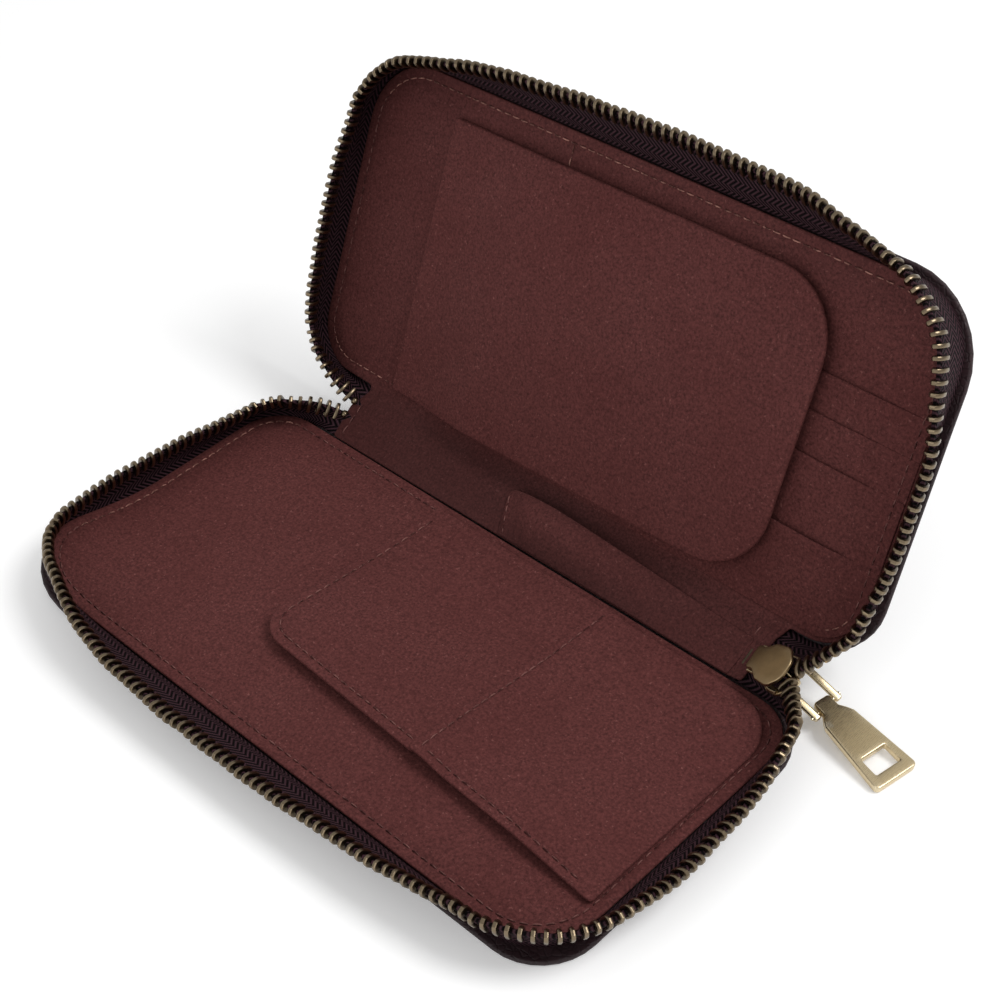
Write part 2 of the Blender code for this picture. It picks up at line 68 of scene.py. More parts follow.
# Leather: sizes of its outlines, thicknesses, seams and bends
OUTER_CORNER = 18.0 * MM
SPINE_CORNER = 12.6 * MM
EDGE = 0.35 * MM
PAGE = 1.25 * MM
POCKET = 0.9 * MM
SLEEVE = 0.6 * MM
CARD_PANEL = 0.5 * MM
STITCH_INSET = 2.9 * MM
POCKET_INSET = 2.6 * MM
GROOVE = 0.16 * MM
COVER_BEND = 4.0 * MM
STRIP_BEND = 4.5 * MM
PAGE_BEND = 13.0 * MM
SLOT_HEIGHTS = (0.4 * MM, 0.75 * MM, 1.25 * MM, 1.6 * MM)
SLOTS = range(1, len(SLOT_HEIGHTS) + 1)
SHORT_SLOTS = 2

# Meshes: the longest side along an outline, and the rows of a slab's grid in sides of its triangles
RING_STRIDE = 1.8 * MM
ROW_STEP = 0.87

# Stitches
STITCH = 2.0 * MM
STITCH_GAP = 0.75 * MM
THREAD = 0.17 * MM
# Shares of a stitch's length, with how far its thread stands up and how thick it is there
STITCH_SHAPE = np.array([
    (0.0, -0.9, 0.5), (0.12, 0.1, 0.9), (0.35, 0.75, 1.0), (0.65, 0.75, 1.0), (0.88, 0.1, 0.9),
    (1.0, -0.9, 0.5),
])

# Zip: the tape's wall, its teeth, and the shares of its length where its head and tail begin
TAPE_OFFSET = 1.3 * MM
TAPE = 0.6 * MM
TAPE_REACH = 10.6 * MM
TAPE_FOOT = -2.45 * MM
TAPE_STANDS = 3.0 * MM
TAPE_TUCK = 1.3 * MM
CORD = 0.62 * MM
PITCH = 2.5 * MM
TOOTH = 1.02 * MM
TOOTH_REST = 0.6 * MM
FIRST_TOOTH = 1.4 * MM
STATIONS = 330
WAVER = math.radians(2.2)
HEAD_SHARE = 0.04
HEAD_SPLIT = 0.07
HEAD_STEPS = 7
TAIL_SHARE = 0.925
SPLIT_SHARE = 0.9
TAIL_STEPS = 9
BARE_TAIL_STEPS = 22
CRISP = 35.0

# Slider and pull, and where the rows of teeth enter the slider
SLIDER_MOUTH = 7.5 * MM
CHANNEL = 1.6 * MM
WIRE = 1.8 * MM
TAB_YAW = math.radians(-10.0)
TAB_PITCH = math.radians(10.0)
TAB_HOLE = (4.9 * MM, 7.3 * MM)
TAB_HOLE_MARGIN = 2.95 * MM


def in_mm(rows):
    """Rows of millimetres, as tuples of metres."""
    return [tuple(value * MM for value in row) for row in rows]


def unit(vector):
    vector = np.asarray(vector, float)
    return vector / np.linalg.norm(vector)


def unit_rows(rows):
    return rows / np.linalg.norm(rows, axis=-1, keepdims=True)


def run_along(line):
    """How far along a line each of its points lies."""
    return np.concatenate([[0.0], np.cumsum(np.linalg.norm(np.diff(line, axis=0), axis=1))])


def sampled(at, run, table):
    """A table's rows, read at the given places along its run."""
    return np.stack([np.interp(at, run, column) for column in np.asarray(table).T], -1)


def joint(name):
    return next(j for j in frame["joints"] if j["name"] == name)


def smooth(value, start, end):
    """0 before start and 1 after end, with an even slope at both."""
    share = np.clip((value - start) / (end - start), 0.0, 1.0)
    return share * share * (3 - 2 * share)


def ripple(u, v, scale, seed=0.0):
    """Gentle noise in -1..1 over a panel, with bumps about scale apart."""
    u, v = np.broadcast_arrays(u, v)
    flat = [
        noise.noise(Vector((a / scale, b / scale, seed))) for a, b in zip(u.ravel(), v.ravel())
    ]
    return np.array(flat).reshape(u.shape)


class Axes:
    """A frame of the model, with points given along its three axes."""

    def __init__(self, origin, first, second, third=None):
        self.origin = np.array(origin, float)
        self.first, self.second = unit(first), unit(second)
        self.third = unit(np.cross(self.first, self.second) if third is None else third)

    def at(self, u, v, h):
        u, v, h = (np.asarray(x, float)[..., None] for x in (u, v, h))
        return self.origin + u * self.first + v * self.second + h * self.third

    def local(self, node):
        """A CAD node's vertices in this frame."""
        spots = np.array([x.co for x in frame["nodes"][node].data.vertices]) - self.origin
        return np.stack([spots @ self.first, spots @ self.second, spots @ self.third], 1)

    def span(self, node):
        spots = self.local(node)
        return spots.min(0), spots.max(0)


LOWER = Axes(joint("spine_fold")["pos_m"], X_AXIS, (0, -1, 0), (0, 0, 1))
UPPER_FOLD = np.array(joint("cover_fold")["pos_m"], float)
SPINE = Axes(LOWER.origin, X_AXIS, UPPER_FOLD - LOWER.origin)
UPPER = Axes(UPPER_FOLD, X_AXIS, -np.array(joint("flap_hinge")["axis"], float))
SPINE_WIDTH = float(np.linalg.norm(UPPER_FOLD - LOWER.origin))


def slider_axes():
    axes = Axes(LOWER.origin, joint("slider_run")["axis"], SPINE.second)
    low, high = axes.span("slider_body")
    return Axes(axes.at(*((low + high) / 2)), axes.first, axes.second)


def link_axes():
    bar, pin = (np.array(joint(n)["pos_m"], float) for n in ("link_swing", "tab_swing"))
    side = unit(joint("link_swing")["axis"])
    along = (pin - bar) - side * ((pin - bar) @ side)
    return Axes(bar, along, side)


def tab_axes():
    along = (
        math.cos(TAB_PITCH) * math.cos(TAB_YAW),
        math.cos(TAB_PITCH) * math.sin(TAB_YAW),
        -math.sin(TAB_PITCH),
    )
    return Axes(joint("tab_swing")["pos_m"], along, (-math.sin(TAB_YAW), math.cos(TAB_YAW), 0))


SLIDER, LINK, TAB = slider_axes(), link_axes(), tab_axes()


# ---------------------------------------------------------------- materials


class Surface:
    """A Principled material, with short calls for the nodes that shape it."""

    def __init__(self, name, **sockets):
        self.material = bpy.data.materials.new(name)
        self.material.use_nodes = True
        self.tree = self.material.node_tree
        self.shader = self.tree.nodes["Principled BSDF"]
        for socket, value in sockets.items():
            self.shader.inputs[socket.replace("_", " ")].default_value = value
        self.place = self.node("ShaderNodeTexCoord").outputs["Object"]

    def node(self, kind, inputs=(), **settings):
        made = self.tree.nodes.new(kind)
        for key, value in settings.items():
            setattr(made, key, value)
        for key, value in dict(inputs).items():
            self.feed(made.inputs[key], value)
        return made

    def feed(self, socket, value):
        if isinstance(value, bpy.types.NodeSocket):
            self.tree.links.new(value, socket)
        else:
            socket.default_value = value

    def noise(self, per_metre, detail=4.0, rough=0.55, place=None):
        inputs = {"Vector": place or self.place, "Scale": per_metre, "Detail": detail, "Roughness": rough}
        return self.node("ShaderNodeTexNoise", inputs).outputs["Fac"]

    def cells(self, per_metre, feature):
        inputs = {"Vector": self.place, "Scale": per_metre}
        return self.node("ShaderNodeTexVoronoi", inputs, feature=feature).outputs["Distance"]

    def math(self, operation, first, second=0.0):
        return self.node("ShaderNodeMath", {0: first, 1: second}, operation=operation).outputs[0]

    def between(self, value, start, end, low=0.0, high=1.0):
        """Maps start..end to low..high, clamped."""
        inputs = {"Value": value, "From Min": start, "From Max": end, "To Min": low, "To Max": high}
        return self.node("ShaderNodeMapRange", inputs).outputs["Result"]

    def tone(self, value, start, end, first, second, low=0.0, high=1.0):
        """Mixes two colours: their share of the second goes from low to high over start..end."""
        first, second = ((*c, 1.0) if isinstance(c, tuple) else c for c in (first, second))
        inputs = {0: self.between(value, start, end, low, high), 6: first, 7: second}
        return self.node("ShaderNodeMix", inputs, data_type="RGBA").outputs[2]

    def finish(self, colour, uneven, low, high):
        """Sets the colour, and a roughness from low to high that follows an uneven value."""
        self.feed(self.shader.inputs["Base Color"], colour)
        self.feed(self.shader.inputs["Roughness"], self.between(uneven, 0.3, 0.7, low, high))

    def bump(self, height, depth, strength=1.0, under=None):
        inputs = {"Height": height, "Distance": depth, "Strength": strength}
        if under:
            inputs["Normal"] = under
        made = self.node("ShaderNodeBump", inputs).outputs["Normal"]
        self.tree.links.new(made, self.shader.inputs["Normal"])
        return made


def suede():
    """Fine brushed lining leather: short fibres, pale flecks and soft clouds of colour."""
    made = Surface(
        "maroon_suede", Sheen_Weight=0.06, Sheen_Roughness=0.5, Specular_IOR_Level=0.18,
        Sheen_Tint=(0.8, 0.3, 0.26, 1.0),
    )
    clouds = made.noise(38.0, 3.0)
    fibres = made.noise(1500.0, 5.0, 0.7)
    flecks = made.noise(1150.0, 2.0, 0.6)
    nap = made.node("ShaderNodeAttribute", attribute_name="nap").outputs["Fac"]
    body = made.tone(fibres, 0.34, 0.66, (0.047, 0.0115, 0.0108), (0.138, 0.0395, 0.0365))
    body = made.tone(clouds, 0.3, 0.7, body, (0.07, 0.0175, 0.0165), 0.0, 0.3)
    body = made.tone(flecks, 0.64, 0.75, body, (0.26, 0.1, 0.09), 0.0, 0.5)
    # Painted shade: a per-point attribute darkens the suede towards dark brown where the lining lies in
    # shade.
    body = made.tone(nap, 0.0, 1.0, body, (0.014, 0.0035, 0.0032), 1.0, 0.0)
    made.finish(body, clouds, 0.78, 0.92)
    made.bump(made.noise(420.0, 3.0), 0.09 * MM, 0.5, made.bump(fibres, 0.08 * MM, 0.9))
    return made.material


def grained_leather():
    """Dark outer leather with a fine pebble grain, and darker creases between the pebbles."""
    made = Surface("dark_grain_leather", Specular_IOR_Level=0.32)
    pebbles = made.cells(1100.0, "SMOOTH_F1")
    creases = made.cells(620.0, "DISTANCE_TO_EDGE")
    body = made.tone(made.noise(50.0), 0.3, 0.7, (0.016, 0.0075, 0.009), (0.034, 0.016, 0.019))
    body = made.tone(creases, 0.0, 0.12, body, (0.012, 0.006, 0.007), 0.6, 0.0)
    made.finish(body, made.noise(300.0), 0.4, 0.58)
    grain = made.bump(made.between(creases, 0.0, 0.16), 0.12 * MM, 0.7)
    made.bump(made.math("SUBTRACT", 1.0, pebbles), 0.08 * MM, 0.5, grain)
    return made.material


def woven_tape():
    """Herringbone zip tape. Its weave attribute holds metres along and across the tape."""
    made = Surface("herringbone_tape", Specular_IOR_Level=0.08)
    weave = made.node("ShaderNodeAttribute", attribute_name="weave").outputs["Vector"]
    parts = made.node("ShaderNodeSeparateXYZ", {0: weave})
    along, across = parts.outputs[0], parts.outputs[1]
    twill = made.math("ADD", along, made.math("PINGPONG", across, 2.3 * MM))
    ridges = made.math("SINE", made.math("MULTIPLY", twill, 2 * math.pi / (1.4 * MM)))
    picks = made.math("SINE", made.math("MULTIPLY", across, 2 * math.pi / (0.42 * MM)))
    threads = made.math("ADD", made.math("MULTIPLY", picks, 0.25), ridges)
    fuzz = made.noise(2600.0, 3.0)
    lift = made.math("ADD", threads, made.math("MULTIPLY", fuzz, 0.6))
    # Painted light: the colour follows the threads' height, so raised threads are painted pale as a
    # highlight and grooves dark as shade, over the tape's near-black purple yarn.
    body = made.tone(lift, -0.3, 1.4, (0.0015, 0.0007, 0.001), (0.06, 0.027, 0.035))
    made.finish(body, fuzz, 0.6, 0.8)
    made.bump(lift, 0.14 * MM, 0.9)
    return made.material


def brass(name, body, worn, dark, rough, patina):
    """Antique brass: brushed, dark in its pits and paler where it is rubbed."""
    made = Surface(name, Metallic=1.0)
    stains = made.noise(420.0, 5.0, 0.65)
    pits = made.noise(2400.0, 3.0)
    turned = {"Vector": made.place, "Rotation": (0.3, 0.2, 0.9), "Scale": (9.0, 0.5, 1.0)}
    scratches = made.node("ShaderNodeMapping", turned).outputs["Vector"]
    brushed = made.noise(900.0, 3.0, 0.6, scratches)
    edges = made.node("ShaderNodeNewGeometry").outputs["Pointiness"]
    tone = made.tone(stains, 0.4, 0.7, body, dark, 0.0, patina)
    tone = made.tone(edges, 0.5, 0.58, tone, worn, 0.0, 0.8)
    made.finish(tone, brushed, rough - 0.04, rough + 0.05)
    made.bump(pits, 0.015 * MM, 0.25, made.bump(brushed, 0.006 * MM, 0.08))
    return made.material


def thread(name, pale, dark):
    """Twisted polyester thread."""
    made = Surface(name, Sheen_Weight=0.03, Sheen_Roughness=0.4, Specular_IOR_Level=0.15)
    twist = made.noise(3000.0, 2.0)
    made.finish(made.tone(made.noise(520.0, 3.0), 0.4, 0.62, dark, pale), twist, 0.55, 0.75)
    made.bump(twist, 0.05 * MM, 0.7)
    return made.material


def grey_board():
    """Recycled pulp board."""
    made = Surface("pulp_board", Specular_IOR_Level=0.2)
    pulp = made.noise(900.0, 5.0, 0.7)
    body = made.tone(pulp, 0.35, 0.65, (0.022, 0.016, 0.015), (0.05, 0.038, 0.034))
    made.finish(body, pulp, 0.85, 0.95)
    made.bump(pulp, 0.08 * MM, 0.6)
    return made.material


def studio_floor():
    made = Surface(
        "paper_floor", Specular_IOR_Level=0.1, Emission_Color=(1.0, 1.0, 1.0, 1.0), Emission_Strength=0.16
    )
    mottle = made.noise(12.0, 3.0)
    made.finish(made.tone(mottle, 0.0, 1.0, (0.93, 0.93, 0.93), (0.95, 0.95, 0.95)), mottle, 0.85, 0.95)
    return made.material


SUEDE, HIDE, TAPE_WEAVE, BOARD = suede(), grained_leather(), woven_tape(), grey_board()
TEETH_BRASS = brass(
    "aged_teeth_brass", (0.055, 0.04, 0.027), (0.24, 0.185, 0.12), (0.012, 0.008, 0.006), 0.3, 0.85
)
PULL_BRASS = brass(
    "champagne_brass", (0.58, 0.46, 0.27), (0.84, 0.76, 0.58), (0.44, 0.34, 0.2), 0.28, 0.2
)
PLATE_BRASS = brass(
    "tan_brass", (0.235, 0.15, 0.07), (0.56, 0.45, 0.28), (0.12, 0.08, 0.04), 0.36, 0.35
)
# Paler copy of the lining thread: painted highlight, for the runs of seam that catch the light.
PAINTED_HIGHLIGHT_THREAD = thread("rose_thread_painted_highlight", (0.4, 0.19, 0.15), (0.07, 0.024, 0.02))
TONAL_THREAD = thread("maroon_thread", (0.2, 0.085, 0.075), (0.045, 0.012, 0.011))


# ---------------------------------------------------------------- meshes


def make(name, spots, faces, surface, body=None, slot=None, nodes=(), sharp=50.0):
    """A named piece from points and faces, with its faces turned outward."""
    data = bpy.data.meshes.new(name)
    data.from_pydata([tuple(s) for s in spots], [], [tuple(int(i) for i in f) for f in faces])
    mesh = bmesh.new()
    mesh.from_mesh(data)
    bmesh.ops.remove_doubles(mesh, verts=mesh.verts, dist=1e-7)
    bmesh.ops.recalc_face_normals(mesh, faces=mesh.faces)
    mesh.to_mesh(data)
    mesh.free()
    data.shade_smooth()
    data.set_sharp_from_angle(angle=math.radians(sharp))
    data.materials.append(surface)
    obj = bpy.data.objects.new(name, data)
    bpy.context.scene.collection.objects.link(obj)
    if nodes:
        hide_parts(*nodes)
    if body:
        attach(obj, body)
    return obj


def rounded(corners, inset=0.0, stride=RING_STRIDE, steps=8):
    """A closed outline through corners (u, v, radius), counterclockwise, drawn in by an inset."""
    spots = [np.array(c[:2], float) for c in corners]
    lines = []
    for here, there in zip(spots, spots[1:] + spots[:1]):
        along = unit(there - here)
        lines.append((here + np.array((-along[1], along[0])) * inset, along))
    points = []
    for i, corner in enumerate(corners):
        (p, d), (q, e) = lines[i - 1], lines[i]
        cross = d[0] * e[1] - d[1] * e[0]
        spot = p + d * (((q - p)[0] * e[1] - (q - p)[1] * e[0]) / cross)
        turn = math.atan2(cross, d @ e)
        side = math.copysign(1.0, turn)
        radius = max(corner[2] - side * inset, 0.06 * MM)
        start = spot - d * radius * abs(math.tan(turn / 2))
        centre = start + np.array((-d[1], d[0])) * side * radius
        arm = start - centre
        for k in range(steps + 1):
            a = turn * k / steps
            points.append(
                centre
                + (arm[0] * math.cos(a) - arm[1] * math.sin(a), arm[0] * math.sin(a) + arm[1] * math.cos(a))
            )
    return np.array(cut_evenly([*points, points[0]], stride, round))


def cut_evenly(points, stride, whole=math.ceil):
    """An open line's points, with its sides cut into even parts. The last point is left out."""
    made = []
    for here, there in zip(points, points[1:]):
        parts = max(1, whole(float(np.linalg.norm(there - here)) / stride))
        made += [here + (there - here) * i / parts for i in range(parts)]
    return made


def rectangle(half_u, half_v, radius, middle=(0.0, 0.0)):
    """The corners of a rectangle."""
    u, v = middle
    low_u, high_u, low_v, high_v = u - half_u, u + half_u, v - half_v, v + half_v
    return [(a, b, radius) for a, b in
            ((low_u, low_v), (high_u, low_v), (high_u, high_v), (low_u, high_v))]


def mirrored(half):
    """A symmetric outline, from its corners on the +V side."""
    return [(u, -v, radius) for u, v, radius in half] + half[::-1]


def inside(points, outline):
    """Which points lie inside a closed outline."""
    x, y = points[:, 0][:, None], points[:, 1][:, None]
    a, b = outline, np.roll(outline, -1, axis=0)
    spans = (a[:, 1] > y) != (b[:, 1] > y)
    with np.errstate(divide="ignore", invalid="ignore"):
        at = a[:, 0] + (y - a[:, 1]) * (b[:, 0] - a[:, 0]) / (b[:, 1] - a[:, 1])
    return (np.sum(spans & (x < at), axis=1) % 2) == 1


def even(value):
    """A height field of one value."""
    return lambda u, v: np.full(np.shape(u), value)


def field_points(corners, holes, inset, stride):
    """A triangular grid of points inside an outline, at least inset from its edges."""
    field = rounded(corners, inset, stride)
    low, high = field.min(0), field.max(0)
    points = []
    for i, v in enumerate(np.arange(low[1], high[1], stride * ROW_STEP)):
        columns = np.arange(low[0] + stride / 2 * (i % 2), high[0], stride)
        row = np.stack([columns, np.full(len(columns), v)], 1)
        row = row[inside(row, field)]
        for hole in holes:
            row = row[~inside(row, rounded(hole, -inset, stride))]
        points += list(row)
    return points


def net(corners, holes, edge, grooves, stride):
    """A slab seen flat: points, how far each is rolled down, faces, and the loops of its walls."""
    turns = [math.pi / 2 * i / 4 for i in range(5)]
    rolled = [(edge * (1 - math.cos(a)), edge * (1 - math.sin(a))) for a in turns]
    furrowed = rolled + list(grooves)
    spots, drops, lines, walls = [], [], [], []
    for shape, sign, rings in [(corners, 1.0, furrowed)] + [(hole, -1.0, rolled) for hole in holes]:
        for inset, drop in rings:
            ring = rounded(shape, sign * inset, min(RING_STRIDE, stride))
            loop = [len(spots) + i for i in range(len(ring))]
            spots += list(ring)
            drops += [drop] * len(ring)
            lines += list(zip(loop, loop[1:] + loop[:1]))
            if inset == 0.0:
                walls.append(loop)
    spots += field_points(corners, holes, furrowed[-1][0] + 0.6 * stride, stride)
    drops += [0.0] * (len(spots) - len(drops))
    flat = [Vector((s[0] / MM, s[1] / MM)) for s in spots]
    found = delaunay_2d_cdt(flat, lines, [], 1, 1e-6, True)
    where = np.array([tuple(v) for v in found[0]]) * MM
    drop = np.array([drops[ids[0]] if ids else 0.0 for ids in found[3]])
    index = {i: new for new, ids in enumerate(found[3]) for i in ids}
    walls = [[index[i] for i in loop] for loop in walls]
    faces = [list(f) for f in found[2]]
    middles = np.array([where[f].mean(0) for f in faces])
    kept = inside(middles, where[walls[0]])
    for loop in walls[1:]:
        kept &= ~inside(middles, where[loop])
    return where, drop, [f for f, keep in zip(faces, kept) if keep], walls


def slab(name, corners, place, low, high, surface, edge=EDGE, grooves=(), stride=3.4 * MM,
         holes=(), flush=None, nap=None, **facts):
    """A closed sheet with rolled edges. low and high are its faces' height fields over (u, v)."""
    where, drop, faces, walls = net(corners, holes, edge, grooves, stride)
    u, v = where[:, 0], where[:, 1]
    if flush:
        drop = np.where(flush(u, v), 0.0, drop)
    top, base = place(u, v, high(u, v) - drop), place(u, v, low(u, v) + np.minimum(drop, edge))
    count = len(where)
    faces += [[i + count for i in reversed(f)] for f in faces]
    for ring in walls:
        faces += [(a, b, b + count, a + count) for a, b in zip(ring, ring[1:] + ring[:1]) if a != b]
    obj = make(name, np.concatenate([top, base]), faces, surface, **facts)
    if surface is SUEDE:
        store_painted_shade(obj, nap)
    return obj


def suede_sheet(name, corners, place, top, thickness, nodes, **facts):
    """A slab of lining suede, of even thickness under its top's height field."""
    return slab(
        name, corners, place, lambda u, v: top(u, v) - thickness, top, SUEDE, slot="lining",
        nodes=nodes, **facts,
    )


def store_painted_shade(obj, nap):
    """Stores painted shade at each point, for the suede: 1 is the plain colour, lower values are darker."""
    layer = obj.data.attributes.new("nap", "FLOAT", "POINT")
    spots = np.array([v.co for v in obj.data.vertices])
    values = np.ones(len(spots)) if nap is None else nap(spots)
    layer.data.foreach_set("value", values.astype(np.float32))


def groove_rings(inset=STITCH_INSET):
    """Insets and depths of the furrow that a row of stitches pulls into the leather."""
    steps = ((-0.75, 0.0), (-0.3, 0.7), (0.0, 1.0), (0.3, 0.7), (0.75, 0.0))
    return [(inset + aside * MM, depth * GROOVE) for aside, depth in steps]


def loft(rings):
    """Points and faces of a closed skin through rings of equally many points."""
    count, faces = len(rings[0]), []
    for i in range(len(rings) - 1):
        for k in range(count):
            m = (k + 1) % count
            faces.append((i * count + k, i * count + m, (i + 1) * count + m, (i + 1) * count + k))
    faces.append(tuple(reversed(range(count))))
    faces.append(tuple((len(rings) - 1) * count + k for k in range(count)))
    return np.concatenate(rings), faces


def tube(line, radius, sides=8, squeeze=1.0):
    """Points and faces of a closed tube along a line. radius is one number, or one a point."""
    line = np.asarray(line, float)
    along = unit_rows(np.gradient(line, axis=0))
    guide = np.array((0.0, 0.0, 1.0)) if abs(along[0][2]) < 0.8 else np.array((0.0, 1.0, 0.0))
    turns = 2 * math.pi * np.arange(sides)[:, None] / sides
    rings = []
    for spot, way, size in zip(line, along, np.broadcast_to(radius, len(line))):
        side = unit(np.cross(way, guide))
        guide = unit(np.cross(side, way))
        rings.append(spot + size * (np.cos(turns) * side + squeeze * np.sin(turns) * guide))
    return loft(rings)


def merged(parts):
    """Several (points, faces) as one."""
    spots, faces, count = [], [], 0
    for points, polygons in parts:
        spots.append(points)
        faces += [tuple(i + count for i in f) for f in polygons]
        count += len(points)
    return np.concatenate(spots), faces


def seam(panel, flat, height, gap=STITCH_GAP):
    """Stitches along a flat line of (u, v) on a panel's height field, each dipping into its holes."""
    flat = np.asarray(flat, float)
    flat = np.array(cut_evenly(flat, 1.0 * MM) + [flat[-1]])
    line = panel.at(flat[:, 0], flat[:, 1], height(flat[:, 0], flat[:, 1]))
    run = run_along(line)
    count = max(1, int(run[-1] // (STITCH + gap)))
    step = run[-1] / count
    shares, lifts, sizes = STITCH_SHAPE.T
    parts = []
    for i in range(count):
        spots = sampled(step * i + gap / 2 + (step - gap) * shares, run, line)
        parts.append(tube(spots + THREAD * lifts[:, None] * panel.third, THREAD * sizes, 6))
    return parts


def sunk(height):
    """The height field of threads that lie in a stitched groove."""
    return lambda u, v: height(u, v) - GROOVE + THREAD


def sew(name, rows, surface, body):
    """A piece made of stitches."""
    return make(name, *merged(rows), surface, body, "lining")


def metal(name, shape, surface, **facts):
    """A metal piece with the given surface, from (points, faces)."""
    return make(name, *shape, surface, slot="metal", **facts)


# ---------------------------------------------------------------- panels of leather

LOW_LINING, HIGH_LINING = LOWER.span("lower_lining")
HALF = HIGH_LINING[0]
NEAR, FAR = LOW_LINING[1], HIGH_LINING[1]
LINING = HIGH_LINING[2] - LOW_LINING[2]
LOW_COVER, HIGH_COVER = LOWER.span("lower_cover")
RIM = HIGH_COVER[0] - HALF
COVER, COVER_FOOT = HIGH_COVER[2] - LOW_COVER[2], LOW_COVER[2]
STRIP_HALF = SPINE.span("spine_lining")[1][0]


def cover_corners(side):
    """A half's cover with its share of the spine, which is narrower."""
    half, far, waist = HALF + RIM, FAR + RIM, STRIP_HALF - 0.6 * MM
    near, seam_v = -TAPE_OFFSET - 0.5 * MM, -SPINE_WIDTH / 2
    near_corner, far_corner = 15.0 * MM, (15.0 if side == "lower" else 21.0) * MM
    return [
        (-waist, seam_v, 0.1 * MM), (waist, seam_v, 0.1 * MM), (waist, near, 3.0 * MM),
        (half, near, near_corner), (half, far, far_corner), (-half, far, OUTER_CORNER + RIM),
        (-half, near, near_corner), (-waist, near, 3.0 * MM),
    ]


def fold(obj, panel, bend, height=0.0):
    """Bakes a piece's transform into its mesh. The points it works out at the bend are not used."""
    on_panel = panel.at(0, bend, height)
    if panel is LOWER:
        SPINE.at(0, bend, height)
        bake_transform(obj)
    else:
        start = SPINE.at(0, SPINE_WIDTH - bend, height)
        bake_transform(obj)


def bent(panel, bend):
    """Places v >= 0 on a panel and v < 0 on the spine, with a round bend between."""
    lower = panel is LOWER

    def place(u, v, h):
        share = np.clip((v + bend) / (2 * bend), 0.0, 1.0)[..., None]
        across = -v if lower else SPINE_WIDTH + v
        start_across = bend if lower else SPINE_WIDTH - bend
        normal = unit_rows((1 - share) * SPINE.third + share * panel.third)
        zero = np.zeros_like(u)
        start, crease = SPINE.at(u, start_across + zero, zero), panel.at(u, zero, zero)
        end = panel.at(u, bend + zero, zero)
        turn = (1 - share) ** 2 * start + 2 * share * (1 - share) * crease + share**2 * end
        turn = turn + np.asarray(h)[..., None] * normal
        flat, strip = panel.at(u, v, h), SPINE.at(u, across, h)
        return np.where(v[..., None] >= bend, flat, np.where(v[..., None] <= -bend, strip, turn))

    return place


def curl(u, v):
    """The lower half's -X outer corner curls up off the table."""
    reach = (-u - (HALF - 24 * MM)) + (v - (FAR - 34 * MM))
    return 7.5 * MM * smooth(reach, 14 * MM, 62 * MM) * smooth(-u, 55 * MM, HALF)


def cover_base(side):
    """The underside of a half's cover, a little uneven. The lower one curls up with its lining."""
    warp = 0.7 if side == "lower" else 0.0

    def base(u, v):
        uneven = ripple(u, v, 26 * MM, 3.0) * 0.16 * MM
        return COVER_FOOT + 0.2 * MM + uneven + warp * curl(u, v)

    return base


def build_covers():
    """Each half's outer leather, with its share of the spine's."""
    sides = (("lower", LOWER, ["lower_cover", "spine_cover"]), ("upper", UPPER, ["upper_cover"]))
    for side, panel, nodes in sides:
        base = cover_base(side)
        obj = slab(
            f"outer_leather_{side}", cover_corners(side), bent(panel, COVER_BEND), base,
            lambda u, v, base=base: base(u, v) + COVER - 0.1 * MM, HIDE, edge=0.62 * MM,
            stride=3.2 * MM, flush=lambda u, v: v < -SPINE_WIDTH / 2 + 0.7 * MM, nodes=nodes,
            slot="outer",
        )
        fold(obj, panel, COVER_BEND, COVER_FOOT)


def lower_height(u, v):
    return ripple(u, v, 30 * MM, 1.0) * 0.12 * MM + curl(u, v)


def strip_lip(u, v):
    """The +X end of the spine's lining lifts over the slider's tail."""
    lift = 2.5 * MM * smooth(u, STRIP_HALF - 3.4 * MM, STRIP_HALF + 4.0 * MM)
    return lift * smooth(-v, -0.5 * MM, 5 * MM)


def upper_height(u, v):
    """The upper lining runs on over the spine, where v is negative."""
    return ripple(u, v, 34 * MM, 2.0) * 0.15 * MM + strip_lip(u, v)


def upper_nap(spots):
    """Painted shade on the upper lining: darker along the spine, where the fold lies in shade, less so
    towards +X; a little darker beside the page's sewn edge, as the page's painted shadow, and along the
    top, under the tape wall.
    """
    offset = spots - UPPER.origin
    u, v = offset @ UPPER.first, offset @ UPPER.second
    strip = 1 - smooth(v, -3 * MM, 4 * MM)
    left = 0.12 * (1 - smooth(u, -62 * MM, -54 * MM)) + 0.1 * smooth(v, 74 * MM, 80 * MM)
    return 1 - strip * (0.52 - 0.2 * smooth(u, 20 * MM, 70 * MM)) - left * (1 - strip)


def spine_nap(spots):
    """Painted light on the sleeve: painted shade over all of it, less towards +X, and a painted highlight
    along its ridge that fades towards its foot.
    """
    low, high = SPINE.span("spine_sleeve")
    offset = spots - SPINE.origin
    u, across = offset @ SPINE.first, (offset @ SPINE.second - low[1]) / (high[1] - low[1])
    ridge = smooth(across, 0.0, 0.6) * (1 - 0.6 * smooth(across, 0.75, 1.1))
    plain = 0.48 + 0.2 * smooth(u, 20 * MM, 70 * MM)
    return plain + 0.3 * ridge * (1 - smooth(u, 15 * MM, 60 * MM)) * smooth(u, -22 * MM, -14 * MM)


def split_seam(panel, ring, height, pale):
    """A closed seam as two sets of threads: the pale run, where pale(u, v) holds, for the painted
    highlight, and the rest.
    """
    sets, count = ([], []), len(ring)
    marks = [bool(pale(*spot)) for spot in ring]
    first = next((i for i in range(count) if marks[i] != marks[i - 1]), 0)
    run = [ring[first]]
    for step in range(1, count + 1):
        i = (first + step) % count
        run.append(ring[i])
        if marks[i] != marks[i - 1] or step == count:
            sets[0 if marks[i - 1] else 1].extend(seam(panel, run, sunk(height)))
            run = [ring[i]]
    return sets


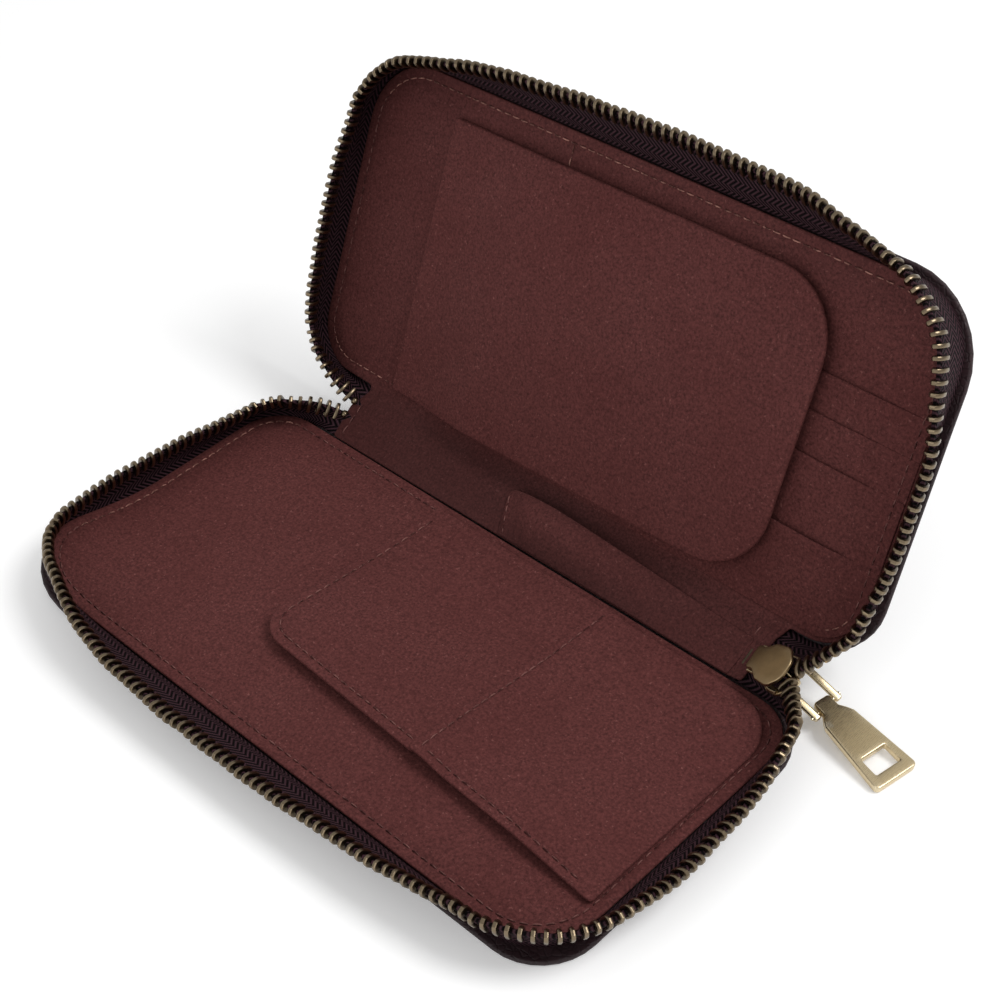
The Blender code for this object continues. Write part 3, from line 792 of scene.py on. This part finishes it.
def lining_corners():
    """The outlines of the lower lining, and of the upper one with the spine's."""
    near = 0.12 * MM
    lower = [
        (-HALF, near, SPINE_CORNER), (HALF, near, SPINE_CORNER), (HALF, FAR, OUTER_CORNER),
        (-HALF, FAR, OUTER_CORNER),
    ]
    foot, end, neck = -SPINE_WIDTH + 0.15 * MM, STRIP_HALF + 3.3 * MM, NEAR - 0.6 * MM
    upper = [
        (-STRIP_HALF, foot, 0.8 * MM), (end, foot + 0.3 * MM, 0.8 * MM),
        (end + 1.6 * MM, neck, 0.8 * MM), *lower[1:], lower[0],
        (-STRIP_HALF + 1.4 * MM, neck, 1.5 * MM), (-STRIP_HALF - 1.6 * MM, -8 * MM, 1.2 * MM),
    ]
    return lower, upper


def build_linings():
    """The lower lining, and the upper one with the spine's, which are one bent sheet."""
    lower, upper = lining_corners()
    rolled = {"edge": 0.38 * MM, "grooves": groove_rings()}
    suede_sheet(
        "lower_lining_leather", lower, LOWER.at, lower_height, LINING, ["lower_lining"],
        body="lower_half", **rolled,
    )
    obj = suede_sheet(
        "upper_lining_leather", upper, bent(UPPER, STRIP_BEND), upper_height, LINING,
        ["upper_lining", "spine_lining"], stride=2.6 * MM, nap=upper_nap, **rolled,
    )
    fold(obj, UPPER, STRIP_BEND)
    ring = rounded(lower, STITCH_INSET)
    # Painted highlight: the same seams are drawn in the paler thread along the lower lining's -X edge, the
    # upper lining's top and fold edges, and the short seam at the top.
    lower_rows = split_seam(LOWER, ring, lower_height, lambda u, v: u < -78 * MM and v < 70 * MM)
    upper_rows = split_seam(UPPER, ring, stack_height, lambda u, v: v > 76 * MM or v < 8 * MM)
    mark_u, mark_v = -22.7 * MM, 76.8 * MM
    mark = [(mark_u, mark_v), (mark_u, FAR - STITCH_INSET)]
    upper_rows[0].extend(seam(UPPER, mark, upper_height, 0.6 * MM))
    for side, (pale, tonal) in (("lower", lower_rows), ("upper", upper_rows)):
        sew(f"{side}_lining_painted_highlight_stitches", pale, PAINTED_HIGHLIGHT_THREAD, f"{side}_half")
        sew(f"{side}_lining_stitches", tonal, TONAL_THREAD, f"{side}_half")


def sleeve_top(u, v):
    """The sleeve swells from its foot seam to its mouth, and is sewn flat at both its ends."""
    low, high = SPINE.span("spine_sleeve")
    swell = np.sin(np.pi * 0.72 * np.clip(v / high[1], 0.0, 1.0))
    ends = smooth(u + 0.4 * v, low[0] - 1.5 * MM, low[0] + 10 * MM)
    ends = ends * (1 - smooth(u, 8 * MM, high[0] - 4 * MM))
    bumps = ripple(u, v, 14 * MM, 8.0) * 0.2 * MM * ends
    return 0.35 * MM + 3.9 * MM * ends * swell + bumps + upper_height(u, v - SPINE_WIDTH)


def build_spine():
    """The seams across the spine's two ends, and its sleeve."""
    end, inner = STRIP_HALF + 0.3 * MM, -STRIP_HALF + 2.2 * MM
    foot, top = 1.35 * MM, SPINE_WIDTH
    across = (
        [(end - 2.8 * MM, foot), (end - 1.4 * MM, top - 3.0 * MM)],
        [(inner, foot), (inner - 0.6 * MM, top - 6 * MM)],
    )
    rows = []
    for line in across:
        rows += seam(SPINE, line, lambda u, v: upper_height(u, v - SPINE_WIDTH) + 0.05 * MM)
    low, high = SPINE.span("spine_sleeve")
    left = [(low[0] - 3.4 * MM, high[1] - 2.0 * MM), (low[0] + 1.8 * MM, low[1] + 0.2 * MM)]
    rows += seam(SPINE, left, lambda u, v: sleeve_top(u, v) + 0.05 * MM, 0.6 * MM)
    sew("spine_stitches", rows, TONAL_THREAD, "spine")
    right, sewn = STRIP_HALF - 1.2 * MM, 0.5 * MM
    sleeve = [
        (low[0] + 0.2 * MM, sewn, 0.6 * MM), (right, sewn, 0.6 * MM),
        (right + 0.8 * MM, high[1] - 1.6 * MM, 1.0 * MM), (low[0] + 12 * MM, high[1] + 0.4 * MM, 30 * MM),
        (low[0] - 4.8 * MM, high[1] - 0.2 * MM, 1.8 * MM),
    ]
    suede_sheet(
        "spine_sleeve_leather", sleeve, SPINE.at, sleeve_top, SLEEVE, ["spine_sleeve"],
        edge=0.28 * MM, stride=1.6 * MM, nap=spine_nap, body="spine",
    )


def pocket_lift(u, v):
    """The pockets' mouth stands off the lining, most in its middle."""
    ends = smooth(u, -34 * MM, -14 * MM) * 0.1 + 0.9
    ends = ends * (1 - smooth(u, 62 * MM, 88 * MM) * 0.8)
    return 2.3 * MM * smooth(v, 18 * MM, 64 * MM) * ends


def left_pocket_top(u, v):
    return 1.15 * MM + pocket_lift(u, v) + lower_height(u, v)


def right_pocket_top(u, v):
    """The right pocket lies over the left one's edge, along their split."""
    overlap = 0.9 * MM * (1 - smooth(u, 34 * MM, 42 * MM))
    return 1.2 * MM + pocket_lift(u, v) + lower_height(u, v) + overlap


def build_pockets():
    """Two flat pockets that share one slightly slanted mouth and a leaning split."""
    low, right_high = LOWER.span("lower_pocket_left")[0], LOWER.span("lower_pocket_right")[1]
    left_u, right_u, foot, lean = low[0], right_high[0], low[1] + 0.6 * MM, 1.9 * MM
    foot_left, split_foot = left_u + lean, right_u - 54.8 * MM
    split_mouth, mouth_left = split_foot - lean, 62.5 * MM
    slope = (right_high[1] - mouth_left) / (right_u - foot_left)

    def mouth(u, inset=0.0):
        return u, mouth_left + slope * (u - foot_left) - inset

    left = [
        (foot_left, foot, 1.0 * MM), (split_foot + 1.2 * MM, foot, 0.8 * MM),
        (split_mouth + 1.2 * MM, mouth(split_mouth)[1], 0.8 * MM),
        (left_u - 0.8 * MM, mouth(left_u)[1], 10.0 * MM),
    ]
    right = [
        (split_foot, foot, 1.0 * MM), (right_u, foot, 14.0 * MM),
        (right_u + 0.4 * MM, mouth(right_u)[1], 1.0 * MM), (*mouth(split_mouth), 1.0 * MM),
    ]
    aside = 2.2 * MM
    pockets = (("left", left, left_pocket_top, POCKET_INSET), ("right", right, right_pocket_top, aside))
    for side, corners, top, inset in pockets:
        suede_sheet(
            f"lower_pocket_{side}_leather", corners, LOWER.at, top, POCKET, [f"lower_pocket_{side}"],
            edge=0.42 * MM, grooves=groove_rings(inset), stride=3.0 * MM, body="lower_half",
        )
    ring = rounded(left, POCKET_INSET)
    side_line = ring[(ring[:, 0] < left_u + 12 * MM) & (ring[:, 1] > foot + POCKET_INSET + 0.5 * MM)]
    side_line = side_line[side_line[:, 1] < mouth(side_line[:, 0])[1]]
    side_line = side_line[np.argsort(side_line[:, 1])]
    turn, end = mouth(left_u + 9 * MM, POCKET_INSET), mouth(split_mouth - 1 * MM, POCKET_INSET)
    rows = seam(LOWER, [*side_line, turn], sunk(left_pocket_top))
    rows += seam(LOWER, [turn, end], sunk(left_pocket_top))
    split = [(split_foot + aside, foot + 2 * MM), (split_mouth + aside, mouth(split_mouth, 2 * MM)[1])]
    split = seam(LOWER, split, sunk(right_pocket_top), 0.5 * MM)
    sew("pocket_split_stitches", split, TONAL_THREAD, "lower_half")
    over = [mouth(u, aside) for u in (split_mouth + 4 * MM, right_u - 5 * MM)]
    rows += seam(LOWER, over, sunk(right_pocket_top))
    sew("lower_pocket_stitches", rows, TONAL_THREAD, "lower_half")


def slot_height(number, u, v):
    """A card panel's top. The panels are pressed thin under the side seam and the fold seam."""
    high = UPPER.span(f"card_slot_{number}")[1]
    gape = 1.1 * MM if number == SLOTS[-1] else 0.3 * MM
    opened = smooth(v, high[1] - 8 * MM, high[1]) * (1 - smooth(u, 72 * MM, 84 * MM))
    pressed = 0.72 * np.maximum(smooth(u, 76 * MM, 87 * MM), 1 - smooth(v, 3.5 * MM, 12 * MM))
    bumps = ripple(u, v, 15 * MM, 10.0 + number) * 0.22 * MM
    full = SLOT_HEIGHTS[number - 1] + gape * opened + bumps
    return full * (1 - pressed) + (0.15 + 0.1 * number) * MM * pressed


def stack_height(u, v):
    """The upper half's seams lie on the lining, or on the card panels where they cover it."""
    height = upper_height(u, v)
    for number in SLOTS:
        low, high = UPPER.span(f"card_slot_{number}")
        covered = (u > low[0] + 1 * MM) & (v > low[1]) & (v < high[1] - 0.5 * MM)
        height = np.where(covered, np.maximum(height, slot_height(number, u, v)), height)
    return height


def build_slots():
    """Stepped card panels, sewn down with the lining along its +X edge. The first are short."""
    edge, fold_seam = HALF - 0.5 * MM, 1.2 * MM
    for number in SLOTS:
        low, high = UPPER.span(f"card_slot_{number}")
        short = number <= SHORT_SLOTS
        foot = max(low[1], fold_seam) if short else fold_seam
        corners = [
            (low[0], foot, 1.0 * MM), (edge, foot, (1.0 if short else 12.0) * MM),
            (edge, high[1] - 0.35 * MM * number, 0.5 * MM), (low[0], high[1], 0.7 * MM),
        ]
        suede_sheet(
            f"card_slot_{number}_leather", corners, UPPER.at,
            lambda u, v, n=number: slot_height(n, u, v), CARD_PANEL, [f"card_slot_{number}"],
            edge=0.24 * MM, stride=2.6 * MM, body="upper_half",
        )


def page_height(u, v):
    """The page rises from its sewn edge to lie on the card slots, and sags beyond their mouths."""
    left = UPPER.span("flap")[0][0]
    ramp = smooth(u, left + 2.3 * MM, left + 34.3 * MM)
    sag = 1.7 * MM * smooth(v, 56 * MM, 78 * MM) - 0.8 * MM * (1 - smooth(v, 30 * MM, 62 * MM))
    return 1.45 * MM + (3.0 * MM - sag) * ramp + ripple(u, v, 32 * MM, 7.0) * 0.3 * MM * ramp


def build_page():
    low, high = UPPER.span("flap")
    radius = 17.8 * MM
    corners = [
        (low[0], low[1], 0.8 * MM), (high[0], low[1] + 3.4 * MM, radius),
        (high[0], high[1], radius), (low[0], high[1] - 0.9 * MM, 1.2 * MM),
    ]
    obj = suede_sheet(
        "page_leather", corners, UPPER.at, page_height, PAGE, ["flap"], edge=0.6 * MM, stride=1.3 * MM
    )
    start, end = (UPPER.at(u, 40 * MM, 0) for u in (low[0], low[0] + PAGE_BEND))
    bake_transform(obj)
    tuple(start)
    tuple(end)


# ---------------------------------------------------------------- zip


def zip_path(steps=9, stride=3.5 * MM):
    """The line that a half's tape stands on: points, outward normals and shares of its length."""
    half, near, far = HALF + TAPE_OFFSET, -TAPE_OFFSET, FAR + TAPE_OFFSET
    corners = [
        (half, near, SPINE_CORNER + TAPE_OFFSET, -90), (half, far, OUTER_CORNER, 0),
        (-half, far, OUTER_CORNER, 90), (-half, near, SPINE_CORNER + TAPE_OFFSET, 180),
    ]
    outline = [np.array((STRIP_HALF, near))]
    for u, v, radius, start in corners:
        centre = np.array((u - math.copysign(radius, u), v - math.copysign(radius, v)))
        for i in range(steps + 1):
            a = math.radians(start + 90 * i / steps)
            outline.append(centre + radius * np.array((math.cos(a), math.sin(a))))
    outline.append(np.array((-STRIP_HALF, near)))
    outline.reverse()
    points = np.array(cut_evenly(outline, stride) + [outline[-1]])
    ways = np.concatenate([points[1:], points[-1:]]) - np.concatenate([points[:1], points[:-1]])
    run = run_along(points)
    return points, unit_rows(np.stack([-ways[:, 1], ways[:, 0]], 1)), run / run[-1]


def leans(panel, node, points, normals, shares):
    """How far a half's CAD row of teeth leans outward at each point of its path, in radians."""
    spots = panel.local(node)
    found, kept = [], []
    for point, normal, share in zip(points, normals, shares):
        offset = spots[:, :2] - point
        out = offset @ normal
        beside = np.abs(offset[:, 0] * normal[1] - offset[:, 1] * normal[0])
        ring = (beside < 0.03 * MM) & (np.abs(out) < 14 * MM)
        if ring.sum() >= 4:
            found.append(math.atan2(out[ring].mean(), spots[ring, 2].mean()))
            kept.append(share)
    return np.array(kept), np.array(found)


def curve_through(points, count):
    """A smooth line through points (Catmull-Rom), with count points between each two."""
    padded = [2 * points[0] - points[1], *points, 2 * points[-1] - points[-2]]
    made = []
    for a, b, c, d in zip(padded, padded[1:], padded[2:], padded[3:]):
        for i in range(count):
            t = i / count
            made.append(0.5 * (
                2 * b + (c - a) * t + (2 * a - 5 * b + 4 * c - d) * t**2
                + (3 * b - a - 3 * c + d) * t**3
            ))
    made.append(padded[-2])
    return np.array(made)


# A distance along the spine, near each of the zip's ends
END_BEND = HALF - 3.0 * MM


class ZipSide:
    """One half's tape and row of teeth: feet on the panel, and an edge that the teeth clamp."""

    def __init__(self, half_name, panel, side):
        """side is -1 for the lower half's side of the slider, and 1 for the upper half's."""
        self.panel, self.side, self.path = panel, side, zip_path()
        kept, angles = leans(panel, f"{half_name}_zip_teeth", *self.path)
        fine = np.linspace(HEAD_SHARE, TAIL_SHARE, STATIONS)
        waver = np.array([noise.noise(Vector((s * 42, 0.3, 1.7))) for s in fine])
        lean = (np.interp(fine, kept, angles) + WAVER * waver)[:, None]
        foot, out = self.stations(fine)
        out = unit_rows(out)
        sideways = out[:, :1] * panel.first + out[:, 1:] * panel.second
        self.reaches = np.sin(lean) * sideways + np.cos(lean) * panel.third
        base, tuck = panel.at(*foot.T, 0 * fine), foot - out * TAPE_TUCK
        hem = lower_height(*foot.T) if half_name == "lower" else 0 * fine
        self.feet = panel.at(*tuck.T, TAPE_FOOT + 0 * fine)
        self.stand = base + (TAPE_STANDS + hem)[:, None] * panel.third
        self.edges = base + self.reaches * TAPE_REACH
        self.add_tail()
        added = self.add_head()
        self.head_split = int(np.searchsorted(fine, HEAD_SPLIT)) + added
        self.tail_split = int(np.searchsorted(fine, SPLIT_SHARE)) + added

    def stations(self, shares):
        """Where the tape stands and which way is out, at shares of the path's length."""
        points, normals, run = self.path
        return sampled(shares, run, points), sampled(shares, run, normals)

    def join(self, foot, out, edges, reaches, heights, standing, before):
        """Adds stations. Their tapes go from lying, with the first heights, to standing."""
        (low_lying, low), (lift_lying, lift) = heights
        tuck = foot - out * standing * TAPE_TUCK
        lows = np.interp(standing[:, 0], (0, 1), (low_lying, low))
        lifts = np.interp(standing[:, 0], (0, 1), (lift_lying, lift))
        new = (self.panel.at(*tuck.T, lows), self.panel.at(*foot.T, lifts), edges, unit_rows(reaches))
        old = (self.feet, self.stand, self.edges, self.reaches)
        pairs = zip(new, old) if before else zip(old, new)
        self.feet, self.stand, self.edges, self.reaches = (np.concatenate(pair) for pair in pairs)

    def add_tail(self):
        """Past TAIL_SHARE the edge dips into the slider's mouth and on to the bottom stop."""
        side = self.side
        guides = [
            self.edges[-1], SLIDER.at(7.2 * MM, side * 2.9 * MM, 0.0),
            SLIDER.at(3.0 * MM, side * 2.3 * MM, 0.0), SLIDER.at(-5.5 * MM, side * 1.5 * MM, 0.0),
            SPINE.at(STRIP_HALF + 1.0 * MM, SPINE_WIDTH / 2 + side * 1.2 * MM, 0.5 * MM),
        ]
        tail = curve_through(guides, TAIL_STEPS)[1:]
        foot, out = self.stations(np.linspace(TAIL_SHARE, 1.0, len(tail) + 1)[1:])
        standing = 1 - smooth(np.arange(1.0, len(tail) + 1), 0, TAIL_STEPS)[:, None]
        reaches = self.reaches[-1] * standing - side * SLIDER.second * (1 - standing)
        heights = (-0.9 * MM, TAPE_FOOT), (1.0 * MM, TAPE_STANDS)
        self.join(foot, out, tail, reaches, heights, standing, before=False)

    def add_head(self):
        """Before HEAD_SHARE the edge comes out from under the spine's end, where both rows meet."""
        middle = SPINE_WIDTH / 2 + self.side * 3.0 * MM
        tucked = SPINE.at(-STRIP_HALF + 2.6 * MM, middle, -1.0 * MM)
        begin = SPINE.at(-STRIP_HALF - 1.7 * MM, middle, 0.7 * MM)
        halfway = (begin + self.edges[0]) / 2 + 0.9 * MM * self.panel.third
        head = curve_through([tucked, begin, halfway, self.edges[0]], HEAD_STEPS)[:-1]
        steps = np.arange(len(head)) / len(head)
        foot, out = self.stations(steps * HEAD_SHARE)
        foot[:, 0] += 3.4 * MM * (1 - smooth(steps, 0.0, 0.4))
        standing = smooth(steps, 0.3, 1.0)[:, None]
        reaches = self.reaches[0] * standing - self.side * SPINE.second * (1 - standing)
        heights = (-1.0 * MM, TAPE_FOOT), (-0.6 * MM, TAPE_STANDS)
        self.join(foot, out, head, reaches, heights, standing, before=True)
        return len(head)

    def band(self, start, end):
        """Points, faces and weave coordinates of the tape between two stations."""
        rows, weave, rise = [], [], np.linspace(0.0, 1.0, 9)[:, None]
        for i, run in zip(range(start, end), run_along(self.edges[start:end])):
            foot, stand, edge, reach = self.feet[i], self.stand[i], self.edges[i], self.reaches[i]
            line = (1 - rise) ** 2 * foot + 2 * rise * (1 - rise) * stand + rise * rise * edge
            line = np.concatenate([line, [edge + reach * 0.7 * MM, edge + reach * 1.25 * MM]])
            along = self.edges[min(i + 1, len(self.edges) - 1)] - self.edges[max(i - 1, 0)]
            sides = unit_rows(np.cross(np.gradient(line, axis=0), along))
            half = np.full((len(line), 1), TAPE / 2)
            half[-2:, 0] = CORD, CORD * 0.55
            across = run_along(line)
            rows.append(np.concatenate([line + sides * half, (line - sides * half)[::-1]]))
            weave += [(run, a, 0.0) for a in [*across, *across[::-1]]]
        return *loft(rows), weave

    def teeth(self, start, end, phase=0.0):
        """Copies of one tooth along the edge between two stations, and what is left of a pitch."""
        edges, reaches = self.edges[start:end], self.reaches[start:end]
        run = run_along(edges)
        template, polygons = tooth()
        parts, at = [], phase
        while at < run[-1]:
            behind, spot, ahead = sampled((at - TOOTH_REST, at, at + TOOTH_REST), run, edges)
            along, reach = unit(ahead - behind), sampled(at, run, reaches)
            reach = unit(reach - along * (reach @ along))
            axes = np.array([along, reach, np.cross(along, reach)])
            parts.append((spot + template @ axes, polygons))
            at += PITCH
        return parts, at - run[-1]


def tooth():
    """One zip tooth: a bar that clamps the tape's cord between two legs. (along, reach, across)"""
    mesh = bmesh.new()
    leg, head, gap, bridge = -1.75 * MM, 2.75 * MM, 0.42 * MM, 0.35 * MM
    wide, tip = 1.5 * MM, 0.95 * MM
    side = [
        (leg, gap), (leg, wide * 0.78), (leg * 0.45, wide), (head * 0.45, wide),
        (head * 0.82, tip * 1.15), (head, tip * 0.6),
    ]
    outline = [*side, *((y, -z) for y, z in side[::-1]), (bridge, -gap), (bridge, gap)]
    base = mesh.faces.new([mesh.verts.new((-TOOTH / 2, y, z)) for y, z in outline])
    made = bmesh.ops.extrude_face_region(mesh, geom=[base])
    far = [v for v in made["geom"] if isinstance(v, bmesh.types.BMVert)]
    bmesh.ops.translate(mesh, verts=far, vec=(TOOTH, 0, 0))
    rims = [e for e in mesh.edges if abs(e.verts[0].co.x - e.verts[1].co.x) < 1e-9]
    bmesh.ops.bevel(mesh, geom=rims, offset=0.3 * MM, segments=2, profile=0.5, affect="EDGES")
    mesh.verts.index_update()
    spots = np.array([v.co for v in mesh.verts])
    polygons = [tuple(v.index for v in f.verts) for f in mesh.faces]
    mesh.free()
    return spots, polygons


def woven(name, band, **facts):
    """A tape piece with its weave coordinates."""
    spots, faces, weave = band
    obj = make(name, spots, faces, TAPE_WEAVE, slot="tape", **facts)
    if len(obj.data.vertices) != len(spots):
        raise RuntimeError(f"{name}: the tape's points were merged")
    layer = obj.data.attributes.new("weave", "FLOAT_VECTOR", "POINT")
    layer.data.foreach_set("vector", np.asarray(weave, np.float32).ravel())
    return obj


def top_stop(run):
    """A crimped stop at the row's end, longer than a tooth."""
    line = run.edges[HEAD_STEPS - 2:HEAD_STEPS + 1] + run.reaches[HEAD_STEPS] * 0.6 * MM
    return tube(curve_through(list(line), 2), np.array((0.8, 1.15, 1.2, 1.15, 0.8)) * MM, 12, 0.9)


def build_zip_side(name, panel, side):
    """A half's wall of tape and teeth, with its head and tail pieces and its end stop."""
    run = ZipSide(name, panel, side)
    total, head, tail = len(run.edges), run.head_split, run.tail_split
    home = f"{name}_half"
    head_teeth, left_over = run.teeth(HEAD_STEPS, head, FIRST_TOOTH)
    row, left_over = run.teeth(head, tail, left_over)
    tail_teeth, _ = run.teeth(tail, total - BARE_TAIL_STEPS, left_over)
    pieces = (
        woven(f"{name}_tape_wall", run.band(head, tail + 1), body=home, nodes=[f"{name}_zip_tape"]),
        metal(f"{name}_teeth_row", merged(row), TEETH_BRASS, body=home, nodes=[f"{name}_zip_teeth"],
              sharp=CRISP),
    )
    for piece in pieces:
        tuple(panel.third)
        panel.at(0, 0, TAPE_FOOT)
        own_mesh(piece)
    stop = metal(f"{name}_end_stop", top_stop(run), TEETH_BRASS, nodes=[f"{name}_top_stop"], sharp=CRISP)
    head_pieces = (
        woven(f"{name}_tape_head", run.band(0, head + 1)),
        metal(f"{name}_teeth_head", merged(head_teeth), TEETH_BRASS, sharp=CRISP),
        stop,
    )
    tail_pieces = (
        woven(f"{name}_tape_tail", run.band(tail, total)),
        metal(f"{name}_teeth_tail", merged(tail_teeth), TEETH_BRASS, sharp=CRISP),
    )
    ends = (
        (head_pieces, -END_BEND, run.edges[HEAD_STEPS][0]),
        (tail_pieces, END_BEND, SLIDER.at(SLIDER_MOUTH, 0, 0)[0]),
    )
    for pieces, outer, inner in ends:
        for piece in pieces:
            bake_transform(piece)


def build_zip():
    build_zip_side("lower", LOWER, -1.0)
    build_zip_side("upper", UPPER, 1.0)


# ---------------------------------------------------------------- slider and pull


def plate(name, corners, axes, low, high, surface, edge, crown=0.0, **facts):
    """A small metal plate with rolled edges and a slight crown."""
    spots = np.array([c[:2] for c in corners])
    centre, span = spots.mean(0), np.ptp(spots, axis=0).max() / 2

    def top(u, v):
        away = ((u - centre[0]) ** 2 + (v - centre[1]) ** 2) / span**2
        return high + crown * np.clip(1 - away, 0.0, 1.0)

    facts.setdefault("stride", 0.8 * MM)
    return slab(name, corners, axes.at, even(low), top, surface, edge=edge, slot="metal", **facts)


def slider_corners():
    """The slider's plates from above: a broad, gently rounded nose and a waisted tail."""
    half = [(-6.1, 3.3, 1.0), (-3.4, 3.0, 2.0), (-0.8, 4.9, 1.5), (3.4, 5.3, 2.4), (6.2, 2.4, 3.4)]
    return mirrored(in_mm(half))


def build_slider():
    """Two plates and their flanges, joined by a post."""
    low, high = SLIDER.span("slider_body")
    facts = {"body": "slider"}
    plate(
        "slider_inner_plate", slider_corners(), SLIDER, CHANNEL, high[2], PLATE_BRASS, 0.35 * MM,
        0.55 * MM, nodes=["slider_body"], **facts,
    )
    plate("slider_outer_plate", slider_corners(), SLIDER, low[2], -CHANNEL, PLATE_BRASS, 0.35 * MM, **facts)
    post = in_mm([(4.1, -0.5, 0.3), (2.3, 0.0, 0.15), (4.1, 0.5, 0.3), (5.6, 0.0, 0.2)])
    reach = CHANNEL + 0.3 * MM
    plate("slider_post", post, SLIDER, -reach, reach, PLATE_BRASS, 0.08 * MM, **facts)
    rails = []
    for side in (-1, 1):
        for level in (-1, 1):
            line = in_mm([(-5.6, side * 3.3), (-2.2, side * 3.5), (0.8, side * 4.55), (3.4, side * 4.55)])
            spots = [SLIDER.at(x, y, level * (CHANNEL - 0.15 * MM)) for x, y in line]
            rails.append(tube(curve_through(spots, 5), 0.42 * MM))
    metal("slider_flanges", merged(rails), PLATE_BRASS, **facts)


def build_bridge():
    """The slider's outer bridge, which holds the link, and the zip's bottom stop."""
    low, high = SLIDER.span("slider_bridge")
    base, peak, reach = high[2] + 0.3 * MM, low[2] + 0.45 * MM, high[0] - 0.45 * MM
    shoulder = base + (peak - base) * 0.7
    half = [(-reach, base), (-reach + 0.3 * MM, shoulder), (-reach / 2, peak)]
    spots = [SLIDER.at(x, 0.0, z) for x, z in half + [(-x, z) for x, z in half[::-1]]]
    bar = flat_bar(curve_through(spots, 6), SLIDER.second, 1.1 * MM, 0.42 * MM, 0.3 * MM)
    metal("slider_bridge_loop", bar, PULL_BRASS, body="slider", nodes=["slider_bridge"])
    low, high = SPINE.span("zip_bottom_stop")
    half, middle = (high - low) / 2, (high + low) / 2
    box = rectangle(half[0], half[1], 0.5 * MM, middle[:2])
    plate(
        "bottom_stop_block", box, SPINE, low[2], high[2], TEETH_BRASS, 0.4 * MM, stride=0.7 * MM,
        body="spine", nodes=["zip_bottom_stop"],
    )


def flat_bar(line, side, half_width, half_depth, radius):
    """A bar of rounded-rectangle section along a line that keeps its width along side."""
    line = np.asarray(line, float)
    section = rounded(rectangle(half_width, half_depth, radius), 0.0, 1.0, 3)
    ups = [unit(np.cross(way, side)) for way in np.gradient(line, axis=0)]
    return loft([[spot + a * side + b * up for a, b in section] for spot, up in zip(line, ups)])


def build_link():
    """The stirrup-shaped link, and the pin between its prongs."""
    low, high = LINK.span("pull_link")
    middle, outer = (low[1] + high[1]) / 2, (high[1] - low[1]) / 2
    inner, back, front = outer - WIRE, low[0], high[0]
    half = [
        (back, outer, 1.2 * MM), (front, outer, 0.6 * MM), (front, inner, 0.5 * MM),
        (WIRE / 2, inner, 1.0 * MM),
    ]
    corners = [(u, v + middle, radius) for u, v, radius in mirrored(half)]
    plate(
        "pull_link_stirrup", corners, LINK, low[2], high[2], PULL_BRASS, 0.42 * MM,
        body="pull_link", nodes=["pull_link"],
    )
    low, high = LINK.span("pull_pin")
    ends = (low[1] - WIRE * 0.9, low[1] - 0.3 * MM, high[1] + 0.3 * MM, high[1] + WIRE * 0.9)
    pin = tube([LINK.at((low[0] + high[0]) / 2, y, 0.0) for y in ends], 0.48 * MM, 12)
    metal("pull_hinge_pin", pin, PULL_BRASS, body="pull_link", nodes=["pull_pin"])


def build_tab():
    """The tapered pull tab, with a narrow head and a rectangular window."""
    low, high = TAB.span("pull_tab")
    shoulder = in_mm([(1.6, 2.3, 0.6), (3.2, 3.5, 1.0), (4.6, 4.3, 0.8)])
    half = [(low[0], 2.3 * MM, 0.8 * MM), *shoulder, (high[0], high[1], 1.2 * MM)]
    length, width = TAB_HOLE
    middle = (high[0] - TAB_HOLE_MARGIN - length / 2, 0.0)
    plate(
        "pull_tab_plate", mirrored(half), TAB, low[2], high[2], PULL_BRASS, 0.38 * MM,
        holes=[rectangle(length / 2, width / 2, 0.5 * MM, middle)], body="pull_tab",
        nodes=["pull_tab"],
    )


# ---------------------------------------------------------------- scene


def build_stage():
    side = 3.0
    spots = [(-side, -side, 0), (side, -side, 0), (side, side, 0), (-side, side, 0)]
    make("studio_floor", spots, [(0, 1, 2, 3)], studio_floor())


def add_light(name, place, target, size, watts):
    data = bpy.data.lights.new(name, "AREA")
    data.shape, data.size, data.energy = "DISK", size, watts
    obj = bpy.data.objects.new(name, data)
    bpy.context.scene.collection.objects.link(obj)
    obj.location = place
    way = Vector(target) - Vector(place)
    obj.rotation_euler = way.to_track_quat("-Z", "Y").to_euler()


def build_lights():
    world = bpy.data.worlds.new("studio")
    bpy.context.scene.world = world
    world.use_nodes = True
    background = world.node_tree.nodes["Background"]
    background.inputs["Color"].default_value = (1.0, 1.0, 1.0, 1.0)
    background.inputs["Strength"].default_value = 0.62
    add_light("key", (0.62, 0.35, 0.95), (0, 0.02, 0.02), 0.5, 6.5)
    add_light("front_fill", (0.1, -0.9, 0.6), (0, 0.04, 0.03), 0.8, 2.0)
    bpy.context.scene.view_settings.view_transform = "Standard"


def build_camera():
    """The photograph's viewing angle: from the front right, about 41 degrees up."""
    data = bpy.data.cameras.new("camera")
    data.lens, data.sensor_width = 68.75, 36.0
    data.clip_start = 0.01
    obj = bpy.data.objects.new("camera", data)
    bpy.context.scene.collection.objects.link(obj)
    right, down = Vector((0.71658, 0.69512, -0.05767)), Vector((0.42806, -0.50354, -0.75047))
    ahead = Vector((-0.55071, 0.51309, -0.65838))
    turn = Matrix((right, -down, -ahead)).transposed()
    obj.matrix_world = Matrix.Translation((0.25394, -0.19790, 0.32596)) @ turn.to_4x4()
    bpy.context.scene.camera = obj


def dress_boards():
    for name in ("lower_board", "spine_board", "upper_board"):
        for place in frame["nodes"][name].material_slots:
            place.material = BOARD


build_camera()
build_stage()
build_lights()
dress_boards()
build_covers()
build_linings()
build_spine()
build_pockets()
build_slots()
build_page()
build_zip()
build_slider()
build_bridge()
build_link()
build_tab()
